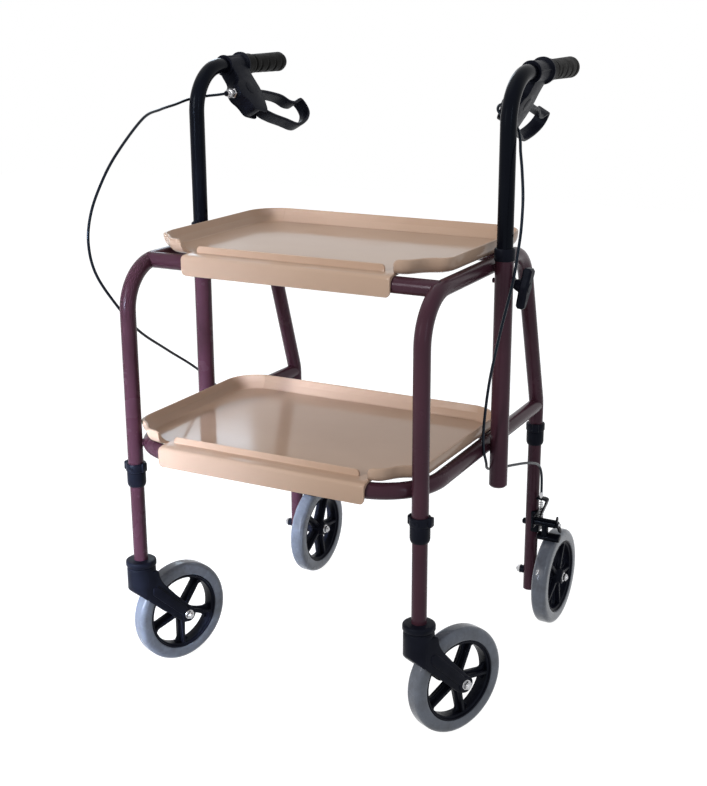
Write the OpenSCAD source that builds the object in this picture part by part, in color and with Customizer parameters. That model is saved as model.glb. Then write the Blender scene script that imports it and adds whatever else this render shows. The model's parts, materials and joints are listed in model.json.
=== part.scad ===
// Indoor trolley walker: a four-wheeled bent-tube frame with two lift-off trays,
// height-adjustable handles with loop brakes, telescopic legs and front castors.
// Millimetres, +Z up, the front (castor end) towards -Y, floor at Z = 0.

/* [Frame] */
// Spacing of the front legs, axis to axis
frame_w = 444; // [410:1:480]
// Spacing of the rear legs, axis to axis
rear_w = 430; // [400:1:460]
// Front leg axis to rear leg axis
wheelbase = 433; // [415:1:460]
// Height of the top rail axis
top_rail_z = 605; // [590:1:640]
// Height of the lower shelf tube axis
shelf_z = 352; // [345:1:365]
// Outside diameter of the frame tube
tube_d = 22.2; // [21:0.1:24]
// Wall of the frame tube
tube_wall = 0.9; // [0.8:0.1:1.2]
// Centre line radius of the front top bend
front_bend_r = 65; // [50:1:80]
// Centre line radius of the rear top bend
rear_bend_r = 60; // [50:1:70]
// Front leg axis to the corner of the rear top bend
rear_bend_y = 352; // [340:1:365]
// Height of the knee where the rear leg turns upright
knee_z = 357; // [355:1:365]
// Front leg axis back to the upper front crossbar
cross_y = 53; // [48:1:60]
// Front leg axis forward to the lower shelf bar
shelf_bar_y = 18; // [14:1:24]

/* [Handle posts] */
// Front leg axis back to the handle posts
post_y = 212; // [195:1:225]
// Outside diameter of the handle post
post_d = 25.4; // [25.2:0.1:28]
// Top of the handle post
post_top_z = 621; // [618:1:630]
// Bottom of the handle post
post_bottom_z = 297; // [285:1:305]
// Height of the clamp knob axis
knob_z = 588; // [575:1:590]
// Reach of a clamp knob wing from its axis
knob_r = 31; // [26:1:33]

/* [Handles] */
// Outside diameter of the handle tube
handle_d = 22.2; // [21:0.1:22.4]
// Wall of the handle tube
handle_wall = 1.5; // [1:0.1:2]
// Height of the grip axis
handle_z = 856; // [840:1:900]
// Centre line radius of the handle bend
handle_bend_r = 64; // [54:1:66]
// Handle post axis to the end of the handle tube
handle_len = 234; // [232:1:246]
// Outside diameter of the grip
grip_d = 29; // [28:0.5:32]
// Length of the grip
grip_len = 115; // [105:1:115]
// Inward roll of the brake unit about the grip, degrees
lever_roll = 30; // [20:1:40]
// Width of the lever strap
lever_w = 20; // [16:1:22]
// Thickness of the lever strap
lever_t = 5; // [4:0.5:6]

/* [Legs and wheels] */
// Top of the leg collars
collar_z = 323; // [318:1:326]
// Wheel diameter over the tyre
wheel_d = 150; // [146:1:154]
// Tyre width
tyre_w = 24; // [20:1:26]
// Diameter of the wheel body inside the tyre
hub_d = 114; // [108:1:118]
// Castor swivel axis to wheel axle
castor_trail = 63; // [58:1:66]
// Resting turn of the right castor, degrees
castor_turn_right = 25; // [0:1:40]
// Resting turn of the left castor, degrees
castor_turn_left = 20; // [0:1:40]
// Diameter of the castor head
castor_head_d = 42; // [38:1:44]
// Axle bolt diameter
axle_d = 8; // [6:1:9]
// Rear leg axis to the middle of the rear wheel
rear_wheel_x = 39.6; // [38:0.1:44]

/* [Trays] */
// Handle post to the side of the tray rim
tray_gap = 8.9; // [8:0.1:14]
// Crossbar axis to the back rim
tray_back = 305; // [295:1:310]
// Rim height above the tray underside
tray_h = 22; // [18:1:26]
// Tray sheet thickness
tray_t = 2.5; // [2:0.1:3]
// Outward lean of the tray walls
tray_lean = 9; // [6:1:11]
// Back corner radius of the rim
tray_corner_r = 50; // [40:1:60]
// Tray side to the end of the front clip
clip_inset = 63; // [58:1:70]
// Front clip end to the end of the upright lip
lip_inset = 19; // [14:1:30]
// Height of the upright front lip above the floor
lip_h = 9; // [6:1:12]
// Drop of the front clip below the crossbar axis
clip_drop = 15; // [12:1:24]

/* [Hidden] */
$fn = 48;
running = 0.06;
weld_gap = 0.2;
weld_d = 11;
leg_slide = 0.04;
handle_slide = 0.04;
seat_gap = 0.3;
part_gap = 0.4;
seam = 0.04;

toe = atan((frame_w - rear_w) / 2 / wheelbase);
side_run = wheelbase / cos(toe);
tube_r = tube_d / 2;
leg_d = tube_d - 2 * tube_wall - 2 * leg_slide;
clip_in = tube_r + seat_gap;
clip_out = clip_in + tray_t;
wheel_r = wheel_d / 2;
y_front = (shelf_bar_y + clip_out - wheelbase - wheel_r) / 2;

// corner radius that lays the shelf tube against the front legs, also where the rails toe in
weld_span = tube_d + weld_gap;
shelf_k = tan(45 + toe / 2);
shelf_e = shelf_bar_y * tan(toe);
shelf_b = 2 * (shelf_e * shelf_k + shelf_bar_y + weld_span);
shelf_c = shelf_e * shelf_e + shelf_bar_y * shelf_bar_y - weld_span * weld_span;
shelf_r = (shelf_b + sqrt(shelf_b * shelf_b - 4 * shelf_k * shelf_k * shelf_c)) / (2 * shelf_k * shelf_k);
shelf_arm = [shelf_e - shelf_r * shelf_k, shelf_r - shelf_bar_y];
post_x = rail_x(post_y) + (tube_r + post_d / 2 + weld_gap) / cos(toe);

tray_w = 2 * (post_x - post_d / 2 - tray_gap);
clip_half = tray_w / 2 - clip_inset;
lip_half = clip_half - lip_inset;
front_step = 0.5;

knee_r = 70;
rear_bar_d = tube_d - 3;
rear_bar_rise = (tube_d - rear_bar_d) / 2;
collar_h = 37;
collar_band_h = 12;
collar_band_d = tube_d + 4.2;
collar_ear = 18;
collar_sleeve_d = tube_d + 3;
collar_foot_d = tube_d + 2;
collar_foot = 8;
leg_end_z = collar_z - collar_h + collar_foot;
front_leg_top = leg_end_z + 150;
rear_leg_top = leg_end_z + 46;
rear_leg_bottom = 45;

bush_h = 17;
bush_d = post_d + 2.8;
bush_lap = 5;
boss_len = 3;
boss_d = 13;
stud_d = 6;
knob_start = post_d / 2 + boss_len + part_gap;
knob_lobe_r = 7;
knob_lean = 15;
knob_end = post_d / 2 + 24.5;
index_d = 5;
index_pitch = 25;
handle_low = post_bottom_z + 130;

// brake unit, along the grip (Y from the post axis) and down from it (Z)
clamp_y = 74;
clamp_len = 45;
clamp_d = handle_d + 9;
flange_d = handle_d + 16.5;
flange_len = 4.5;
grip_y = handle_len - grip_len + 5;
unit_w = lever_w + 5;
slot_w = lever_w + 1.2;
pivot = [96, -44];
pivot_d = 6;
pivot_boss_r = 16;
pivot_slot_r = 18.5;
cap_d = 21;
adjuster_z = -44.5;
adjuster_y = 65;
adjuster_len = 24;
unit_outline = [[75, 0], [76, -12], [78, -29], [65, -36], [65, -53], [76, -64], [81, -79],
    [108, -86], [114, -82], [120, -62], [122, -49], [117, -24], [118, 0]];
slot_outline = [[88, -28], [135, -28], [135, -115], [98, -115], [98, -86], [90, -66], [84, -50]];
loop_route = [[104, -50], [128, -50.5], [158, -56.5], [178, -62.5], [193, -72], [208, -75], [221, -72],
    [230, -72], [234.5, -83], [232, -94], [218, -104], [196, -110.5], [180, -110], [158, -101],
    [131, -91], [112, -80], [98, -58]];

castor_cap_h = 10.5;
castor_head_top = 164;
castor_head_low = 128;
stem_d = 12;
fork_gap = tyre_w + 9;
fork_t = 7;
hub_half = fork_gap / 2 - 1;
fork_eye_r = 12.5;
wheel_room = wheel_r + 4;
fork_side = [[-12, 126], [-12, 158], [16, 161], [17, 146], [23, 134], [73, 79], [54, 65], [26, 90]];
rim_t = 6;
rim_inset = 1;
spoke_plate = 4;
spoke_lap = 2;
tyre_foot = [[0, 1], [3, 0]];
tyre_shoulder = [[8, 0], [4, 1.5], [1.2, 5], [0, 9]];
spoke_n = 5;
spoke_w = 6;
spoke_web = 16;
boss_r = 12;

// rear brake, from the rear leg axis
brake_pivot = [-26, 172];
brake_pin_d = 6;
brake_pin_end = 52;
brake_bolt_z = 158;
shoe_angle = 21;
shoe_gap = 1.8;
shoe_t = 9;
shoe_x = [21, 57];
cable_x = 19;
cable_y = -14;
stop_z = 203.5;
stop_t = 3;
ferrule_h = 10;
bracket_block = [[2, -12, 146], [13, 24, 35]];
bracket_cheek = [[11, -34, 162], [4, 26, 19]];
stop_foot = [[11, -9, 178], [18, 5, 3]];
stop_post = [[25.5, -9, 178], [3.5, 5, stop_z + stop_t - 178]];
stop_plate = [[14, -19, stop_z], [15, 15, stop_t]];
spring_low = 174.5;
spring_top = 200.5;
spring_turns = 8;
spring_r = 3;
spring_wire = 1;

cable_d = 4;
cable_clear = 1.5;
cable_rings = 42;
cable_right_route = [cable_start(1), [217.5, 239, 814.5], [221.5, 230.5, 807.5], [235, 230.5, 798],
    [249, 228, 787.5], [256, 220, 775], [261, 210, 760], [268, 199, 738], [275, 187, 705],
    [277, 180, 672], [276, 176, 645], [271, 170, 595], [257, 168, 530], [243, 170, 462], [235, 174, 402],
    [232, 180, 364], [232.2, 191, 337], [226.6, 212, 320], [228, 250, 309], [231, 300, 298],
    [235, 350, 286], [236, 392, 270], [234.5, 414, 248], [234, 419, 217]];
cable_left_route = [cable_start(-1), [-226, 243, 816.5], [-239, 235, 815], [-251, 228, 812.5],
    [-257.5, 211, 810.5], [-258, 180.5, 805.7], [-254, 138, 801.5], [-247, 88, 793], [-243, 20, 751],
    [-248, -10, 714], [-251, -31, 676], [-251, -39, 637], [-249, -29, 595], [-247, 8, 546],
    [-249, 57, 499], [-256, 133, 452], [-264, 220, 400], [-259, 300, 335], [-232, 362, 296],
    [-206, 402, 270], [-196, 419, 248], [-196, 419, 217]];

steel = [0.75, 0.76, 0.78];
paint = [0.24, 0.12, 0.15];
black = [0.07, 0.07, 0.08];
beige = [0.78, 0.66, 0.57];
grey = [0.42, 0.43, 0.45];

// distance of the side rails from the middle, at a distance behind the front legs
function rail_x(y) = frame_w / 2 - y * tan(toe);

function unit(v) = v / norm(v);

// where a brake cable leaves its adjuster, from the front leg
function cable_start(s) = [s * (post_x + adjuster_z * sin(lever_roll)),
    post_y + adjuster_y - adjuster_len - cable_clear, handle_z + adjuster_z * cos(lever_roll)];

// angle turned at corner i of a flat route
function turn_at(p, i) = acos(unit(p[i] - p[i - 1]) * unit(p[i + 1] - p[i]));

// smooth curve through points: four neighbours and a fraction
function curve(a, b, c, d, t) = b + 0.5 * t * (c - a + t * (2 * a - 5 * b + 4 * c - d
    + t * (3 * (b - c) + d - a)));

function on_open(p, s) = let (n = len(p), i = min(floor(s), n - 2))
    curve(p[max(i - 1, 0)], p[i], p[i + 1], p[min(i + 2, n - 1)], s - i);

function on_loop(p, s) = let (n = len(p), i = floor(s) % n)
    curve(p[(i + n - 1) % n], p[i], p[(i + 1) % n], p[(i + 2) % n], s - floor(s));

// closed loop of points pushed sideways by a distance
function pushed(p, d) = let (n = len(p)) [for (i = [0:n - 1])
    let (t = unit(p[(i + 1) % n] - p[(i + n - 1) % n])) p[i] + d * [-t[1], t[0]]];

module ring(d, wall) {
    difference() {
        circle(d = d);
        if (wall > 0) {
            circle(d = d - 2 * wall);
        }
    }
}

module straight(p, q, d, wall) {
    run = q - p;
    translate([p[0], p[1], 0])
        rotate([0, 0, atan2(run[1], run[0])])
            rotate([0, 90, 0])
                linear_extrude(height = norm(run))
                    ring(d, wall);
}

// length that a rounded corner takes from the legs beside it
function corner_cut(p, r, i) = (i == 0 || i == len(p) - 1) ? 0 : r[i - 1] * tan(turn_at(p, i) / 2);

// straight leg i of a route, laid a little way into the bends beside it
module path_leg(p, r, i, d, wall) {
    way = unit(p[i + 1] - p[i]);
    lap0 = i == 0 ? 0 : 2 * seam;
    lap1 = i == len(p) - 2 ? 0 : 2 * seam;
    straight(p[i] + way * (corner_cut(p, r, i) - lap0), p[i + 1] - way * (corner_cut(p, r, i + 1) - lap1),
        d, wall);
}

module path_bend(p, r, i, d, wall) {
    a = unit(p[i] - p[i - 1]);
    b = unit(p[i + 1] - p[i]);
    side = sign(a[0] * b[1] - a[1] * b[0]);
    centre = p[i] - a * corner_cut(p, r, i) + side * r[i - 1] * [-a[1], a[0]];
    from = side > 0 ? [a[1], -a[0]] : [-b[1], b[0]];
    translate([centre[0], centre[1], 0])
        rotate([0, 0, atan2(from[1], from[0])])
            rotate_extrude(angle = turn_at(p, i))
                translate([r[i - 1], 0])
                    ring(d, wall);
}

// round tube along a flat route: each leg sits inside the wall of the bends beside it
module path_tube(p, r, d, wall) {
    for (i = [0:len(p) - 2]) {
        path_leg(p, r, i, d - 2 * seam, wall - 2 * seam);
    }
    for (i = [1:len(p) - 2]) {
        path_bend(p, r, i, d, wall);
    }
}

// tube swept along a route: rings of points square to the way
module swept(p, d, rings, sides) {
    last = len(p) - 1;
    spots = [for (k = [0:rings]) on_open(p, last * k / rings)];
    skin(spots, d, sides);
}

module skin(spots, d, sides) {
    n = len(spots);
    points = [for (k = [0:n - 1])
        let (t = unit(spots[min(k + 1, n - 1)] - spots[max(k - 1, 0)]),
            ref = abs(t[0]) > 0.9 ? [0, 1, 0] : [1, 0, 0],
            u = unit(cross(t, ref)), v = cross(t, u))
        for (j = [0:sides - 1]) spots[k] + d / 2 * (u * cos(360 * j / sides) + v * sin(360 * j / sides))];
    walls = [for (k = [0:n - 2]) for (j = [0:sides - 1]) let (m = (j + 1) % sides)
        for (f = [[j, m, sides + m], [j, sides + m, sides + j]]) [for (q = f) k * sides + q]];
    first = [[for (j = [0:sides - 1]) sides - 1 - j]];
    close = [[for (j = [0:sides - 1]) (n - 1) * sides + j]];
    polyhedron(points, concat(walls, first, close), convexity = 6);
}

module mirrored(left) {
    mirror([left ? 1 : 0, 0, 0])
        children();
}

module at_front(s) {
    translate([s * frame_w / 2, y_front, 0])
        children();
}

module at_rear(s) {
    translate([s * rear_w / 2, y_front + wheelbase, 0])
        children();
}

module at_post() {
    translate([post_x, y_front + post_y, 0])
        children();
}

module at_brake_unit(left) {
    mirrored(left)
        translate([post_x, y_front + post_y, handle_z])
            rotate([0, lever_roll, 0])
                children();
}

module at_castor(s, turn) {
    at_front(s)
        rotate([0, 0, -turn])
            children();
}

// lays a flat outline drawn in Y and Z across X
module across(w) {
    translate([-w / 2, 0, 0])
        rotate([90, 0, 90])
            linear_extrude(height = w)
                children();
}

module along_x(x, y, z, d, h) {
    translate([x, y, z])
        rotate([0, 90, 0])
            cylinder(d = d, h = h);
}

// welded frame
side_route = [[0, leg_end_z], [0, top_rail_z], [rear_bend_y, top_rail_z],
    [side_run, knee_z], [side_run, leg_end_z]];
side_radii = [front_bend_r, rear_bend_r, knee_r];

module in_side_plane() {
    translate([frame_w / 2, y_front, 0])
        rotate([0, 0, toe])
            rotate([90, 0, 90])
                children();
}

module side_frame(left) {
    color(paint)
        mirrored(left)
            in_side_plane()
                path_tube(side_route, side_radii, tube_d, tube_wall);
}

// crossbar along X, cut to the shape of what it is welded to
module crossbar(y, z, reach, d) {
    difference() {
        translate([-reach, y_front + y, z])
            rotate([0, 90, 0])
                linear_extrude(height = 2 * reach)
                    ring(d, tube_wall);
        for (left = [false, true]) {
            mirrored(left)
                children();
        }
    }
}

module upper_front_crossbar() {
    color(paint)
        crossbar(cross_y, top_rail_z, rail_x(cross_y), tube_d)
            in_side_plane()
                path_bend(side_route, side_radii, 1, tube_d, 0);
}

module upper_rear_crossbar() {
    y = rear_bend_y - 62;
    color(paint)
        crossbar(y, top_rail_z + rear_bar_rise, rail_x(y), rear_bar_d)
            in_side_plane()
                path_leg(side_route, side_radii, 1, tube_d, 0);
}

shelf_back = wheelbase - tube_r - 3;
shelf_route = [[-rail_x(shelf_back), shelf_back], [-rail_x(-shelf_bar_y), -shelf_bar_y],
    [rail_x(-shelf_bar_y), -shelf_bar_y], [rail_x(shelf_back), shelf_back]];
shelf_radii = [shelf_r, shelf_r];

module in_shelf_plane() {
    translate([0, y_front, shelf_z])
        children();
}

module lower_rear_crossbar() {
    y = tray_back - shelf_bar_y - 24;
    color(paint)
        crossbar(y, shelf_z + rear_bar_rise, rail_x(y), rear_bar_d)
            in_shelf_plane()
                path_leg(shelf_route, shelf_radii, 2, tube_d, 0);
}

// short welds from the shelf tube to the front leg, the post and the rear leg
module shelf_welds() {
    difference() {
        at_front(1)
            translate([0, 0, shelf_z])
                rotate([0, 0, atan2(shelf_arm[1], shelf_arm[0])])
                    rotate([0, 90, 0])
                        cylinder(d = weld_d, h = tube_r + weld_gap + 2);
        at_front(1)
            translate([0, 0, leg_end_z])
                cylinder(d = tube_d, h = 2 * (shelf_z - leg_end_z));
        in_shelf_plane()
            path_bend(shelf_route, shelf_radii, 2, tube_d - tube_wall, 0);
    }
    difference() {
        at_post()
            translate([0, 0, shelf_z])
                rotate([0, -90, 0])
                    cylinder(d = weld_d, h = post_d / 2 + weld_gap + 2);
        at_post()
            translate([0, 0, post_bottom_z])
                cylinder(d = post_d, h = 2 * (shelf_z - post_bottom_z));
        in_shelf_plane()
            path_leg(shelf_route, shelf_radii, 2, tube_d - tube_wall, 0);
    }
    difference() {
        in_shelf_plane()
            straight([rail_x(shelf_back - 8), shelf_back - 8], [rail_x(wheelbase), wheelbase],
                tube_d - tube_wall, 2 * tube_wall);
        in_side_plane() {
            path_leg(side_route, side_radii, 2, tube_d, 0);
            path_leg(side_route, side_radii, 3, tube_d, 0);
            path_bend(side_route, side_radii, 3, tube_d, 0);
        }
    }
}

module lower_shelf_frame() {
    color(paint) {
        in_shelf_plane()
            path_tube(shelf_route, shelf_radii, tube_d, tube_wall);
        for (left = [false, true]) {
            mirrored(left)
                shelf_welds();
        }
    }
}

module handle_post(left) {
    bore = handle_d + 2 * handle_slide;
    color(paint)
        mirrored(left)
            difference() {
                at_post()
                    difference() {
                        union() {
                            translate([0, 0, post_bottom_z])
                                cylinder(d1 = post_d - 5, d2 = post_d, h = 2.5);
                            translate([0, 0, post_bottom_z + 2.5])
                                cylinder(d = post_d, h = post_top_z - post_bottom_z - 2.5);
                            along_x(0, 0, knob_z, boss_d, post_d / 2 + boss_len);
                            along_x(-post_d / 2 - 3, 0, knob_z, 7, 8);
                            translate([0, 0, top_rail_z])
                                rotate([0, -90, 0])
                                    cylinder(d = weld_d, h = post_d / 2 + weld_gap + 3);
                        }
                        translate([0, 0, post_bottom_z + 4])
                            cylinder(d = bore, h = post_top_z);
                        along_x(0, 0, knob_z, stud_d + 2 * running, post_d);
                    }
                in_side_plane()
                    path_leg(side_route, side_radii, 1, tube_d, 0);
            }
}

module post_bush(left) {
    color(black)
        mirrored(left)
            at_post()
                translate([0, 0, post_top_z - bush_lap])
                    difference() {
                        union() {
                            cylinder(d = bush_d, h = bush_h - 2);
                            translate([0, 0, bush_h - 2])
                                cylinder(d1 = bush_d, d2 = bush_d - 3, h = 2);
                        }
                        translate([0, 0, -1])
                            cylinder(d = post_d, h = bush_lap + 1);
                        cylinder(d = handle_d + 2 * part_gap, h = bush_h + 1);
                    }
}

// leg collars with a split-clamp ear and a push button
module collar(ear_turn, button_turn) {
    color(black)
        translate([0, 0, collar_z - collar_h])
            difference() {
                union() {
                    cylinder(d1 = collar_foot_d, d2 = collar_sleeve_d, h = collar_h - collar_band_h);
                    translate([0, 0, collar_h - collar_band_h])
                        cylinder(d = collar_band_d, h = collar_band_h);
                    rotate([0, 0, ear_turn])
                        translate([0, -5, collar_h - collar_band_h])
                            cube([collar_ear, 10, collar_band_h - 2]);
                    rotate([0, 0, button_turn])
                        along_x(tube_r, 0, collar_h - collar_band_h - 5, 7, 4.5);
                }
                translate([0, 0, collar_foot])
                    cylinder(d = tube_d, h = collar_h);
                translate([0, 0, -1])
                    cylinder(d = leg_d + 2 * part_gap, h = collar_h);
                rotate([0, 0, ear_turn])
                    translate([tube_r - 1, -0.8, collar_h - collar_band_h + 1])
                        cube([collar_band_d, 1.6, collar_band_h]);
            }
}

module front_collar(s) {
    at_front(s)
        collar(s > 0 ? 0 : 180, -60);
}

module rear_collar(s) {
    at_rear(s)
        collar(110, -70);
}

module cable(route) {
    color(black)
        translate([0, y_front, 0])
            swept(route, cable_d, cable_rings, 10);
}

// trays: half outline of the rim from the front clip round to the back middle
function half_rim(i) = let (x0 = clip_half - 1, x1 = tray_w / 2, y0 = -9, y1 = 39, r = tray_corner_r)
    concat([for (k = [0:8]) let (t = k / 8)
            [x0 + (x1 - x0) * t - i * t, y0 + (y1 - y0) * pow(t, 1.8) + i * (1 - t)]],
        [[x1 - i, y1 + 30]],
        [for (k = [0:6]) let (a = 15 * k) [x1 - r + (r - i) * cos(a), tray_back - r + (r - i) * sin(a)]]);

function rim(i) = let (h = half_rim(i), n = len(h))
    concat(h, [for (k = [0:n - 1]) [-h[n - 1 - k][0], h[n - 1 - k][1]]]);

// solid between a lower and an upper outline
module dish(low, high, z0, z1) {
    n = len(low);
    points = concat([for (p = low) [p[0], p[1], z0]], [for (p = high) [p[0], p[1], z1]]);
    walls = [for (k = [0:n - 1]) let (m = (k + 1) % n) [k, k + n, m + n, m]];
    polyhedron(points, concat(walls, [[for (k = [0:n - 1]) k]], [[for (k = [0:n - 1]) 2 * n - 1 - k]]));
}

module tray() {
    floor_z = clip_in;
    lip_y = clip_in - 2;
    color(beige)
        union() {
            difference() {
                dish(rim(tray_lean), rim(0), floor_z, floor_z + tray_h);
                dish(rim(tray_lean + tray_t), rim(tray_t), floor_z + tray_t, floor_z + tray_h + 0.01);
                translate([-clip_half - 7.5, -40, floor_z + tray_t])
                    cube([2 * clip_half + 15, 60, tray_h]);
                translate([-clip_half + 3, -40, floor_z + tray_t - front_step])
                    cube([2 * clip_half - 6, 40 + lip_y + tray_t / 2, tray_h]);
            }
            translate([-clip_half + 2, -1, floor_z + 0.1])
                cube([2 * clip_half - 4, 31, tray_t - front_step - 0.2]);
            translate([-lip_half, lip_y, floor_z + 0.2])
                cube([2 * lip_half, tray_t, tray_t + lip_h - 0.2]);
            across(2 * clip_half) {
                intersection() {
                    difference() {
                        circle(r = clip_out);
                        circle(r = clip_in);
                    }
                    translate([-clip_out, 0])
                        square([clip_out, clip_out]);
                }
                translate([-clip_out, -clip_drop])
                    square([tray_t, clip_drop]);
            }
        }
}

module upper_tray() {
    translate([0, y_front + cross_y, top_rail_z])
        tray();
}

module lower_tray() {
    translate([0, y_front - shelf_bar_y, shelf_z])
        tray();
}

// handles
module handle_tube(left) {
    route = [[0, handle_low], [0, handle_z], [handle_len, handle_z]];
    color(black)
        mirrored(left)
            at_post()
                difference() {
                    rotate([90, 0, 90])
                        path_tube(route, [handle_bend_r], handle_d, handle_wall);
                    for (k = [-2:1]) {
                        along_x(-handle_d, 0, post_top_z + 4 + index_pitch * k, index_d, 2 * handle_d);
                    }
                }
}

module grip(left) {
    bore_r = handle_d / 2;
    out_r = grip_d / 2;
    groove = 1.3;
    body = grip_len - 8;
    ribs = [for (k = [0:3]) for (p = [[0, 0], [2, -groove], [5, -groove], [7, 0]])
        [out_r + p[1], 32 + 18 * k + p[0]]];
    outline = concat([[bore_r, 0], [out_r + 1, 0], [out_r + 1, 20], [out_r, 22]], ribs,
        [[out_r, body], [out_r - 4, grip_len], [0, grip_len], [0, grip_len - 4.5], [bore_r, grip_len - 4.5]]);
    color(black)
        mirrored(left)
            at_post()
                translate([0, grip_y, handle_z])
                    rotate([-90, 0, 0])
                        rotate_extrude()
                            polygon(outline);
}

module brake_housing(left) {
    color(black)
        at_brake_unit(left)
            difference() {
                union() {
                    translate([0, clamp_y, 0])
                        rotate([-90, 0, 0])
                            cylinder(d = clamp_d, h = clamp_len);
                    translate([0, clamp_y + clamp_len - 0.5, 0])
                        rotate([-90, 0, 0])
                            cylinder(d = flange_d, h = flange_len);
                    across(unit_w)
                        polygon(unit_outline);
                }
                translate([0, clamp_y - 5, 0])
                    rotate([-90, 0, 0])
                        cylinder(d = handle_d, h = clamp_len + 20);
                across(slot_w)
                    polygon(slot_outline);
                along_x(-slot_w / 2, pivot[0], pivot[1], 2 * pivot_slot_r, slot_w);
                along_x(-unit_w, pivot[0], pivot[1], pivot_d, 2 * unit_w);
            }
}

module lever_pivot(left) {
    color(black)
        at_brake_unit(left) {
            along_x(-unit_w / 2 - 1, pivot[0], pivot[1], pivot_d, unit_w + 2);
            for (s = [-1, 1]) {
                along_x(s * (unit_w / 2 + 0.9) - 0.9, pivot[0], pivot[1], cap_d, 1.8);
            }
        }
}

module cable_adjuster(left) {
    color(steel)
        at_brake_unit(left)
            translate([0, adjuster_y, adjuster_z])
                rotate([90, 0, 0]) {
                    cylinder(d = 10, h = 4, $fn = 6);
                    translate([0, 0, 4])
                        cylinder(d = 9, h = 8);
                    translate([0, 0, 12])
                        cylinder(d = 6.5, h = adjuster_len - 12);
                }
}

module brake_lever(left) {
    n = len(loop_route);
    ring = [for (k = [0:n * 5 - 1]) on_loop(loop_route, k / 5)];
    color(black)
        at_brake_unit(left)
            difference() {
                union() {
                    across(lever_w)
                        difference() {
                            polygon(pushed(ring, lever_t / 2));
                            polygon(pushed(ring, -lever_t / 2));
                        }
                    along_x(-lever_w / 2, pivot[0], pivot[1], 2 * pivot_boss_r, lever_w);
                }
                along_x(-lever_w, pivot[0], pivot[1], pivot_d + 2 * running, 2 * lever_w);
            }
}

module clamp_knob(left) {
    lobe_at = knob_r - knob_lobe_r;
    color(black)
        mirrored(left)
            at_post()
                translate([0, 0, knob_z])
                    rotate([0, 90, 0]) {
                        translate([0, 0, handle_d / 2 + part_gap])
                            cylinder(d = stud_d, h = knob_start);
                        translate([0, 0, knob_start])
                            cylinder(d1 = 13, d2 = 20, h = 9);
                        translate([0, 0, knob_start + 8])
                            linear_extrude(height = knob_end - knob_start - 8)
                                union() {
                                    circle(r = 10);
                                    for (k = [0, 1]) {
                                        rotate([0, 0, 180 * k - knob_lean]) {
                                            translate([lobe_at, 0])
                                                circle(r = knob_lobe_r);
                                            translate([0, -knob_lobe_r])
                                                square([lobe_at, 2 * knob_lobe_r]);
                                        }
                                    }
                                }
                    }
}

// front legs and castors
module front_leg(s) {
    color(paint)
        at_front(s)
            difference() {
                union() {
                    translate([0, 0, castor_head_top])
                        cylinder(d = leg_d, h = front_leg_top - castor_head_top);
                    translate([0, 0, castor_head_low + 13])
                        cylinder(d = stem_d, h = 40);
                }
                translate([0, 0, castor_head_top + 30])
                    cylinder(d = leg_d - 3, h = front_leg_top);
            }
}

module castor_cap(s) {
    color(black)
        at_front(s)
            translate([0, 0, castor_head_top + part_gap])
                difference() {
                    union() {
                        cylinder(d = castor_head_d, h = castor_cap_h - 2);
                        translate([0, 0, castor_cap_h - 2])
                            cylinder(d1 = castor_head_d, d2 = castor_head_d - 3, h = 2);
                    }
                    translate([0, 0, -1])
                        cylinder(d = leg_d, h = castor_cap_h + 2);
                    translate([0, 0, castor_cap_h - 5])
                        cylinder(d1 = leg_d, d2 = leg_d + 8, h = 5.01);
                }
}

module castor_fork(s, turn) {
    color(black)
        at_castor(s, turn)
            difference() {
                union() {
                    translate([0, 0, castor_head_low])
                        cylinder(d = castor_head_d, h = castor_head_top - castor_head_low);
                    for (side = [-1, 1]) {
                        translate([side * (fork_gap + fork_t) / 2, 0, 0])
                            across(fork_t)
                                union() {
                                    polygon(fork_side);
                                    translate([castor_trail, wheel_r])
                                        circle(r = fork_eye_r);
                                }
                    }
                }
                along_x(-fork_gap / 2, castor_trail, wheel_r, 2 * wheel_room, fork_gap);
                along_x(-fork_gap, castor_trail, wheel_r, axle_d, 2 * fork_gap);
                translate([0, 0, castor_head_low - 1])
                    cylinder(d = stem_d + 2 * running, h = castor_head_top);
            }
}

// bolt along X with a hex head and an acorn nut
module bolt(x0, x1) {
    along_x(x0, 0, 0, axle_d, x1 - x0);
    translate([x0 - 5.5, 0, 0])
        rotate([0, 90, 0])
            cylinder(d = axle_d * 1.8, h = 5.5, $fn = 6);
    along_x(x0 - 8.5, 0, 0, axle_d * 1.3, 3.1);
    translate([x1, 0, 0])
        rotate([0, 90, 0])
            cylinder(d = axle_d * 1.8, h = 5.5, $fn = 6);
    along_x(x1 + 5.4, 0, 0, axle_d * 1.3, 3.1);
}

module front_axle(s, turn) {
    reach = fork_gap / 2 + fork_t;
    color(steel)
        at_castor(s, turn)
            translate([0, castor_trail, wheel_r])
                bolt(-reach, reach);
}

module hub() {
    rim_r = hub_d / 2;
    bore = axle_d + 2 * running;
    color(black)
        rotate([0, 90, 0])
            difference() {
                union() {
                    rotate_extrude()
                        polygon([[rim_r - rim_t, -tyre_w / 2 + rim_inset], [rim_r, -tyre_w / 2 + rim_inset],
                            [rim_r, tyre_w / 2 - rim_inset], [rim_r - rim_t, tyre_w / 2 - rim_inset]]);
                    cylinder(r = boss_r, h = 2 * hub_half, center = true);
                    for (k = [0:spoke_n - 1]) {
                        rotate([0, 0, 360 / spoke_n * k + 20]) {
                            translate([boss_r - spoke_lap, -spoke_w / 2, -spoke_web / 2])
                                cube([rim_r - rim_t - boss_r + 1.5 * spoke_lap, spoke_w, spoke_web]);
                            translate([boss_r - spoke_lap, -spoke_w, -spoke_plate / 2])
                                cube([rim_r - rim_t - boss_r + 1.5 * spoke_lap, 2 * spoke_w, spoke_plate]);
                        }
                    }
                }
                cylinder(d = bore, h = 4 * hub_half, center = true);
            }
}

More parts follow.
